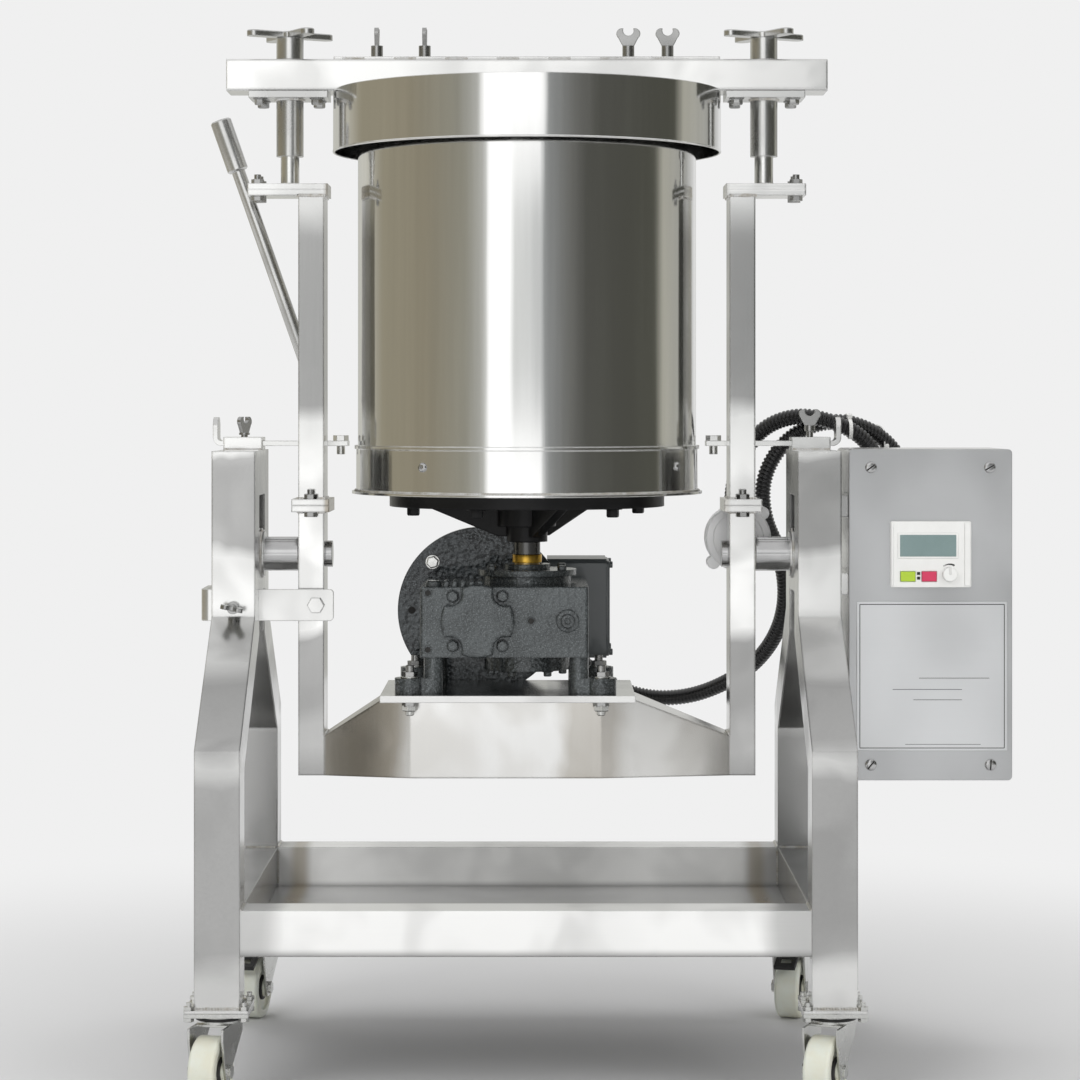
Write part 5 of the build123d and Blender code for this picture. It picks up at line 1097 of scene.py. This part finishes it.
class MelangerGearTrim(bpy.types.Operator):
    """Bolts, nuts, washers, cast ribs, oil plug and tapped holes of the gear unit; the holes are rims round
    discs of painted shade
    """

    bl_idname = "melanger.gear_trim"
    bl_label = "Gear unit trim"

    # Cover bolts by their reach from the worm's axis, the others by radius, and bearings in degrees.
    COVER_REACH = (-28.4, 28.4)
    OUTPUT_RADIUS, OUTPUT_BEARINGS = 50, (-55, 55, 125, 235)
    BASE_RADIUS, BASE_BEARINGS = 42, range(35, 395, 60)
    MOTOR_BEARINGS = (45, 135, 225, 315)
    # Cast ribs: the first along X, their pitch and number, and their lean in degrees.
    RIB_X, RIB_PITCH, RIB_COUNT, RIB_LEAN = -93, 9.6, 5, 14
    # Cast pad and oil plug, tapped holes as (x, z), and the hole in the motor flange from the worm's axis;
    # the holes are discs of painted shade.
    PAD_X, PLUG_X, PLUG_Z = -107, 47, 513
    HOLES = ((-113, 545), (-113, 480), (5, 513))
    FLANGE_HOLE_X = -83
    # Outlines as (radius, height), in millimetres.
    PLUG = ((13.2, 0), (13.2, 2.4), (12.2, 3.4), (8.2, 3.6), (7.8, 6.2), (7.0, 7.0))
    HOLE_RIM = ((5.0, 0), (4.8, 0.9), (3.3, 0.9), (3.1, 0.15))
    HOLE = ((3.1, 0.15), (2.9, 0.3))
    FLANGE_HOLE_SHADE = ((4.4, 0.05), (4.2, 0.3))
    WASHER = ((11, 0), (11, 1.4), (10.6, 1.8))
    BOLT_END = ((5, 0), (5, 11), (4, 12))

    def execute(self, context):
        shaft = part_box("worm_shaft")
        worm_x = (shaft[0][0] + shaft[1][0]) / 2
        worm_z = (shaft[0][2] + shaft[1][2]) / 2
        cast, holes, plated = Mould(), Mould(), Mould()
        for dx in self.COVER_REACH:
            for dz in self.COVER_REACH:
                place = facing((worm_x + dx * MM, HOUSING_FRONT * MM, worm_z + dz * MM), -Y, dx)
                cast.hexagon(place, width=11.5, height=7, washer=7.4)
        for bearing in self.OUTPUT_BEARINGS:
            place = outward(bearing, self.OUTPUT_RADIUS, OUTPUT_Z).translation
            cast.hexagon(facing(place, Z, bearing), width=9, height=5)
        lean = Matrix.Rotation(math.radians(self.RIB_LEAN), 4, "Y")
        for rib in range(self.RIB_COUNT):
            place = Matrix.Translation(mm(self.RIB_X + rib * self.RIB_PITCH, RIB_Y, HOUSING_TOP)) @ lean
            cast.slab((6, 42, 8), place, corner=1.5, edge=1.4)
        cast.slab((18, 26, 7), Matrix.Translation(mm(self.PAD_X, RIB_Y, HOUSING_TOP)), corner=6, edge=1.5)
        place = fronting(self.PLUG_X, HOUSING_FRONT, self.PLUG_Z)
        cast.socket_head(place, self.PLUG, socket=3.4, depth=4)
        for x, z in self.HOLES:
            cast.turn(self.HOLE_RIM, fronting(x, HOUSING_FRONT, z))
            # A near-black disc in each hole as painted shade.
            holes.turn(self.HOLE, fronting(x, HOUSING_FRONT, z))
        for bearing in self.BASE_BEARINGS:
            place = outward(bearing, self.BASE_RADIUS, BASE_Z).translation
            cast.hexagon(facing(place, -Z), width=8, height=5, washer=6.5)
        cast.piece(context, "gear_castings", "hammered_housing", "cradle", "grey_casting")
        for x in FOOT_X:
            for y in FOOT_Y:
                plated.turn(self.WASHER, Matrix.Translation(mm(x, y, FOOT_Z)))
                plated.hexagon(facing(mm(x, y, NUT_Z), -Z, x), width=16, height=7)
                plated.turn(self.BOLT_END, facing(mm(x, y, NUT_Z), -Z))
        flange_y, reach = MOTOR_FLANGE_Y * MM, MOTOR_BOLT_RADIUS * MM
        for bearing in self.MOTOR_BEARINGS:
            turn = math.radians(bearing)
            place = (worm_x + reach * math.cos(turn), flange_y, worm_z + reach * math.sin(turn))
            plated.hexagon(facing(place, -Y, bearing), width=13, height=6, washer=8.8)
        plated.piece(context, "plated_bolts_and_washers", "zinc_plate", "cradle", "zinc_steel")
        # A near-black disc in the flange hole as painted shade.
        holes.turn(self.FLANGE_HOLE_SHADE, facing((worm_x + self.FLANGE_HOLE_X * MM, flange_y, worm_z), -Y))
        holes.piece(context, "tapped_holes", "dark_socket", "cradle", "grey_casting")
        return {"FINISHED"}


class MelangerBoxTrim(bpy.types.Operator):
    """Screws with painted shade in their slots, bare plate of the control panel, lids of terminal box and
    junction box
    """

    bl_idname = "melanger.box_trim"
    bl_label = "Box trim"

    # Panel screws as (x, z, turn of the slot); plate lines as (x, z, width, height). In millimetres.
    SCREWS = ((397, 688, 35), (534, 688, 30), (397, 345, 50), (535, 345, 85))
    MIDDLE_X, MIDDLE_Z = 467.5, 447.2  # of the bare plate
    LEFT, RIGHT, LOW, HIGH = 384.2, 550.8, 364.4, 530.0
    LINES = (
        (LEFT, MIDDLE_Z, 0.9, HIGH - LOW), (RIGHT, MIDDLE_Z, 0.9, HIGH - LOW),
        (MIDDLE_X, LOW, RIGHT - LEFT, 0.9), (MIDDLE_X, HIGH, RIGHT - LEFT, 0.9),
        (493, 445.0, 81, 0.6), (462, 432.0, 80, 0.6), (474, 420.0, 56, 0.6), (480, 368.6, 87, 0.5),
    )
    # Lid of the terminal box with its screws, lid of the junction box.
    LID, LID_SCREW_X, LID_SCREW_Y, LID_SCREW_Z = (96, 168, 513), 100, (126, 210), (460, 566)
    ROUND_LID = (251, 46, 602)
    # Outlines as (radius, height), in millimetres.
    SLOT_SHADE = ((5.8, 1.3), (5.8, 1.45))
    LID_SCREW = ((4, 0), (4, 3), (3.4, 3.6))
    LIP = ((38.2, 0), (38.2, 2.4), (37.2, 3.2), (30, 3.4), (29.4, 2.6), (20, 2.6))

    def execute(self, context):
        screws, slots = Mould(), Mould()
        for x, z, spin in self.SCREWS:
            screws.slotted_head(fronting(x, PANEL_FRONT, z, spin), radius=6.6, height=3.0, slot=1.5)
            # A near-black disc under each slot as painted shade.
            slots.turn(self.SLOT_SHADE, fronting(x, PANEL_FRONT, z))
        screws.piece(context, "panel_screws", "turned_steel", "stand", "brushed_steel")
        slots.piece(context, "screw_slots", "dark_socket", "stand", "brushed_steel")
        plate = Mould()
        place = fronting(self.MIDDLE_X, PANEL_FRONT, self.MIDDLE_Z)
        plate.slab((174, 172, 1.0), place, corner=1.5, edge=0.3)
        plate.piece(context, "bare_plate", "brushed_plate", "stand", "panel_aluminium")
        lines = Mould()
        for x, z, width, height in self.LINES:
            lines.slab((width, height, 0.2), fronting(x, PLATE_FRONT, z), corner=0.15, edge=0.05)
        lines.piece(context, "plate_lines", "dark_socket", "stand", "panel_aluminium")
        lids = Mould()
        lids.slab((96, 116, 4), facing(mm(*self.LID), X), corner=6, edge=1.5)
        for y in self.LID_SCREW_Y:
            for z in self.LID_SCREW_Z:
                place = facing(mm(self.LID_SCREW_X, y, z), X)
                lids.socket_head(place, self.LID_SCREW, socket=1.8, depth=2)
        lids.piece(context, "terminal_lid", "box_paint", "cradle", "motor_paint")
        # The junction lid takes the grey moulding lightened as painted light.
        round_lid = Mould()
        round_lid.turn(self.LIP, fronting(*self.ROUND_LID), 64)
        round_lid.piece(context, "junction_lid", "pale_moulding", "cradle", "grey_plastic")
        return {"FINISHED"}


class MelangerKeypadTrim(bpy.types.Operator):
    """Display, side strips, lamps and knob scale of the keypad"""

    bl_idname = "melanger.keypad_trim"
    bl_label = "Keypad trim"

    # Side strips as (x, width), display in its frame, and lamps, in millimetres.
    STRIPS, STRIP_Z = ((421.0, 3.0), (507.6, 7.0)), 588
    FRAME_X, LENS_X, DISPLAY_Z, FRAME_THICK = 462.2, 462.3, 598, 0.6
    LAMP_X, LAMP_Z = 451.3, (560.6, 566.0)
    # Middle of the knob and radius of its scale; marks of the scale, the first and the step in degrees.
    KNOB_X, KNOB_Z, SCALE_RADIUS = 487, 565, 11.6
    MARKS, FIRST_MARK, MARK_STEP = 9, 125, 7.5

    def execute(self, context):
        strips = Mould()
        for x, width in self.STRIPS:
            strips.slab((width, 73, 1.1), fronting(x, KEYPAD_FRONT, self.STRIP_Z), corner=1.0, edge=0.5)
        place = fronting(self.FRAME_X, KEYPAD_FRONT, self.DISPLAY_Z)
        strips.slab((70, 30, self.FRAME_THICK), place, corner=1.2, edge=0.3)
        strips.piece(context, "keypad_strips", "white_moulding", "stand", "white_plastic")
        lens = Mould()
        place = fronting(self.LENS_X, KEYPAD_FRONT - self.FRAME_THICK, self.DISPLAY_Z)
        lens.slab((64.8, 25, 0.4), place, corner=0.6, edge=0.2)
        lens.piece(context, "keypad_display", "display_lens", "stand", "grey_plastic")
        marks = Mould()
        for z in self.LAMP_Z:
            marks.slab((3.6, 3.4, 0.5), fronting(self.LAMP_X, KEYPAD_FRONT, z), corner=0.4, edge=0.15)
        for step in range(self.MARKS):
            turn = math.radians(self.FIRST_MARK - self.MARK_STEP * step)
            x = self.KNOB_X + self.SCALE_RADIUS * math.cos(turn)
            z = self.KNOB_Z + self.SCALE_RADIUS * math.sin(turn)
            place = fronting(x, KEYPAD_FRONT, z) @ Matrix.Rotation(math.pi / 2 - turn, 4, "Z")
            marks.slab((1.7, 0.6 + 0.2 * step, 0.25), place, corner=0.2, edge=0.08)
        marks.piece(context, "keypad_marks", "dark_socket", "stand", "white_plastic")
        return {"FINISHED"}


class MelangerBridgeTrim(bpy.types.Operator):
    """Bolts under the flange plates of the bridge"""

    bl_idname = "melanger.bridge_trim"
    bl_label = "Bridge trim"

    # Bolts of a flange plate, from the middle of its column, in millimetres.
    BOLT_X, BOLT_Y = (-33, 33), (-20, 20)

    def execute(self, context):
        bolts = Mould()
        for side in SIDES:
            for dx in self.BOLT_X:
                for y in self.BOLT_Y:
                    place = facing(mm(side * COLUMN_X + dx, y, BRIDGE_Z[0]), -Z, dx + y)
                    bolts.hexagon(place, width=12, height=6.5, washer=8.5)
        bolts.piece(context, "bridge_bolts", "bolt_steel", "bridge", "zinc_steel")
        return {"FINISHED"}


class MelangerCasterTrim(bpy.types.Operator):
    """Seals of the caster wheels and ball races"""

    bl_idname = "melanger.caster_trim"
    bl_label = "Caster trim"

    # Outlines as (radius, height), in millimetres.
    WHEEL_SEAL = ((11.3, 11.3), (15.2, 11.3), (15.2, 13.4), (14.2, 14.4), (11.6, 14.6))
    RACE_SEAL = ((20, 88.6), (25.6, 88.6), (25.9, 89.2), (25.9, 91.4), (25.6, 92), (20, 92))

    def execute(self, context):
        for corner in CORNERS:
            roll, swivel = JOINTS["roll_" + corner], JOINTS["swivel_" + corner]
            hub, axle = Vector(roll["pos_m"]), Vector(roll["axis"])
            wheel, fork = "caster_wheel_" + corner, "caster_fork_" + corner
            seals = Mould()
            for side in SIDES:
                seals.turn(self.WHEEL_SEAL, facing(hub, axle * side), 48)
            seals.piece(context, "wheel_seals_" + corner, "black_nylon", wheel, "black_plastic")
            race = Mould()
            x, y = swivel["pos_m"][:2]
            race.turn(self.RACE_SEAL, Matrix.Translation((x, y, 0)), 48)
            race.piece(context, "race_seal_" + corner, "black_nylon", fork, "black_plastic")
        return {"FINISHED"}


class MelangerFinishes(bpy.types.Operator):
    """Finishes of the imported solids"""

    bl_idname = "melanger.finishes"
    bl_label = "Finishes"

    def execute(self, context):
        for name, nodes in NODE_FINISHES.items():
            for node in nodes:
                mesh = frame["nodes"][node].data
                mesh.materials.clear()
                mesh.materials.append(finish(context, name))
        return {"FINISHED"}


# Tones of the mirrored room by bearing in degrees, 0 behind the camera and positive to the right.
BRIGHT = (1.35, 1.35, 1.35)
SIDE_TONES_LEFT = (
    (-180.0, (0.50, 0.50, 0.47)), (-140.0, (0.62, 0.61, 0.55)), (-112.0, (0.34, 0.31, 0.23)),
    (-70.0, (0.30, 0.27, 0.20)), (-40.0, (0.30, 0.29, 0.24)), (-27.0, (0.52, 0.52, 0.49)), (-24.5, BRIGHT),
)
SIDE_TONES_RIGHT = (
    (11.5, (0.30, 0.31, 0.31)), (28.0, (0.17, 0.17, 0.16)), (40.0, (0.09, 0.09, 0.08)),
    (95.0, (0.08, 0.08, 0.065)), (103.0, (0.46, 0.45, 0.39)), (135.0, (0.40, 0.40, 0.38)),
    (160.0, (0.80, 0.80, 0.80)), (180.0, (0.50, 0.50, 0.47)),
)
ROOM_TONES = SIDE_TONES_LEFT + ((9.5, BRIGHT),) + SIDE_TONES_RIGHT
MIDDLE_TONES = SIDE_TONES_LEFT + (
    (-11.0, BRIGHT), (-8.5, (0.72, 0.73, 0.72)), (9.0, (0.64, 0.65, 0.65)),
) + SIDE_TONES_RIGHT
# Room in millimetres, and the soft limits of its middle tones in metres above the floor.
ROOM_RADIUS, ROOM_Z, ROOM_STEPS = 4600, (20, 3200), 180
MIDDLE_LOW, MIDDLE_HIGH = (0.60, 0.82), (1.25, 1.5)

# Lamps as (place, width, watts), in metres, all aimed at one point.
LAMP_AIM = Vector((0, 0, 0.6))
LAMPS = {
    "key_lamp": ((-2.2, -3.2, 3.0), 2.2, 52),
    "front_lamp": ((0.5, -3.8, 0.9), 1.6, 26),
    "fill_lamp": ((2.6, -2.8, 2.2), 2.2, 34),
    "top_lamp": ((0.0, 0.6, 3.6), 2.6, 46),
    "rim_lamp": ((-1.6, 3.0, 2.6), 2.0, 30),
}
AMBIENT = 0.42
FLOOR_RADIUS, FLOOR_FADE = 40.0, (0.45, 1.7)
FLOOR_TONES = ((0.66, 0.66, 0.66), (0.70, 0.70, 0.70))


class MelangerStage(bpy.types.Operator):
    """Pale floor, backdrop, lamps and the room that polished steel mirrors"""

    bl_idname = "melanger.stage"
    bl_label = "Stage"

    def execute(self, context):
        self.backdrop(context)
        self.floor(context)
        self.room(context)
        for name, (place, width, power) in LAMPS.items():
            self.lamp(context, name, place, width, power)
        context.scene.view_settings.view_transform = "Standard"
        return {"FINISHED"}

    def lamp(self, context, name, place, width, power):
        light = bpy.data.lights.new(name, "AREA")
        light.size = width
        light.energy = power
        lamp = bpy.data.objects.new(name, light)
        lamp.location = place
        lamp.rotation_euler = (LAMP_AIM - Vector(place)).to_track_quat("-Z", "Y").to_euler()
        lamp.visible_camera = False
        lamp.visible_glossy = False
        context.scene.collection.objects.link(lamp)

    def backdrop(self, context):
        world = bpy.data.worlds.new("studio")
        context.scene.world = world
        f = Finish("studio", world)
        pale = context.scene.melanger_studio.backdrop
        path = f.node("LightPath", output="Is Camera Ray") + f.node("LightPath", output="Is Glossy Ray")
        path = path + f.node("LightPath", output="Is Transmission Ray")
        seen = f.node("Background", {}, {"Color": (pale, pale, pale, 1), "Strength": 1.0})
        ambient = f.node("Background", {}, {"Color": (1, 1, 1, 1), "Strength": AMBIENT})
        both = f.node("MixShader", {}, {0: path.maths("MINIMUM", path, 1.0), 1: ambient, 2: seen})
        f.node("OutputWorld", {}, {"Surface": both})

    def put_up(self, context, name, mould, material):
        """Make an object of the stage from a mesh in the making."""
        mesh = bpy.data.meshes.new(name)
        mould.to_mesh(mesh)
        mould.free()
        mesh.materials.append(material)
        made = bpy.data.objects.new(name, mesh)
        context.scene.collection.objects.link(made)
        return made

    def floor(self, context):
        f = Finish("pale_floor")
        pale = context.scene.melanger_studio.backdrop
        place = f.node("TexCoord", output="Object")
        reach = f.node("VectorMath", {"operation": "LENGTH"}, {0: place}, "Value")
        lit = f.node("BsdfDiffuse", {}, {"Color": f.mix(f.noise(1.5, 3.0, 0.5), *FLOOR_TONES)})
        far = f.node("Emission", {}, {"Color": (pale, pale, pale, 1), "Strength": 1.0})
        both = f.node("MixShader", {}, {0: reach.smooth(*FLOOR_FADE), 1: lit, 2: far})
        f.node("OutputMaterial", {}, {"Surface": both})
        mould = bmesh.new()
        bmesh.ops.create_circle(mould, cap_ends=True, radius=FLOOR_RADIUS, segments=96)
        floor = self.put_up(context, "floor", mould, f.owner)

    def room(self, context):
        """Ring of panels round the machine that only mirror rays see."""
        f = Finish("room_panels")
        x, y, height = [f.place_along(axis) for axis in "XYZ"]
        bearing = x.maths("ARCTAN2", x, y * -1.0) / (2 * math.pi) + 0.5
        level = height.smooth(*MIDDLE_LOW) * (1 - height.smooth(*MIDDLE_HIGH))
        ramps = []
        for tones in (ROOM_TONES, MIDDLE_TONES):
            stops = [(0.5 + degrees / 360, tone) for degrees, tone in tones]
            ramps.append(f.node("ValToRGB", {"stops": stops}, {"Fac": bearing}))
        shine = f.node("Emission", {}, {"Color": f.mix(level, *ramps), "Strength": 1.0})
        f.node("OutputMaterial", {}, {"Surface": shine})
        mould = bmesh.new()
        low, high = [[mould.verts.new(point) for point in circle(ROOM_RADIUS, z, ROOM_STEPS)] for z in ROOM_Z]
        for index in range(ROOM_STEPS):
            after = (index + 1) % ROOM_STEPS
            mould.faces.new((low[index], high[index], high[after], low[after]))
        room = self.put_up(context, "room", mould, f.owner)
        room.visible_camera = False
        room.visible_diffuse = False
        room.visible_shadow = False
        room.visible_transmission = False


class MelangerPanel(bpy.types.Panel):
    """Steps that dress the machine"""

    bl_idname = "VIEW3D_PT_melanger"
    bl_label = "Chocolate melanger"
    bl_space_type = "VIEW_3D"
    bl_region_type = "UI"
    bl_category = "Melanger"

    def draw(self, context):
        for step in STEPS:
            self.layout.operator(step.bl_idname)
        for name, group in GROUPS.items():
            for setting in group.__annotations__:
                self.layout.prop(getattr(context.scene, name), setting)


GROUPS = {
    "melanger_sizes": MelangerSizes,
    "melanger_colours": MelangerColours,
    "melanger_studio": MelangerStudio,
}
STEPS = (
    MelangerCamera,
    MelangerConduits,
    MelangerTies,
    MelangerWelds,
    MelangerDrumTrim,
    MelangerGearTrim,
    MelangerBoxTrim,
    MelangerKeypadTrim,
    MelangerBridgeTrim,
    MelangerCasterTrim,
    MelangerStage,
    MelangerFinishes,
)


def register():
    for made in (*GROUPS.values(), *STEPS, MelangerPanel):
        bpy.utils.register_class(made)
    for name, group in GROUPS.items():
        setattr(bpy.types.Scene, name, PointerProperty(type=group))


def unregister():
    for name in GROUPS:
        delattr(bpy.types.Scene, name)
    for made in (MelangerPanel, *STEPS[::-1], *GROUPS.values()):
        bpy.utils.unregister_class(made)


def main():
    register()
    for step in STEPS:
        family, name = step.bl_idname.split(".")
        getattr(getattr(bpy.ops, family), name)()


if __name__ == "__main__":
    main()
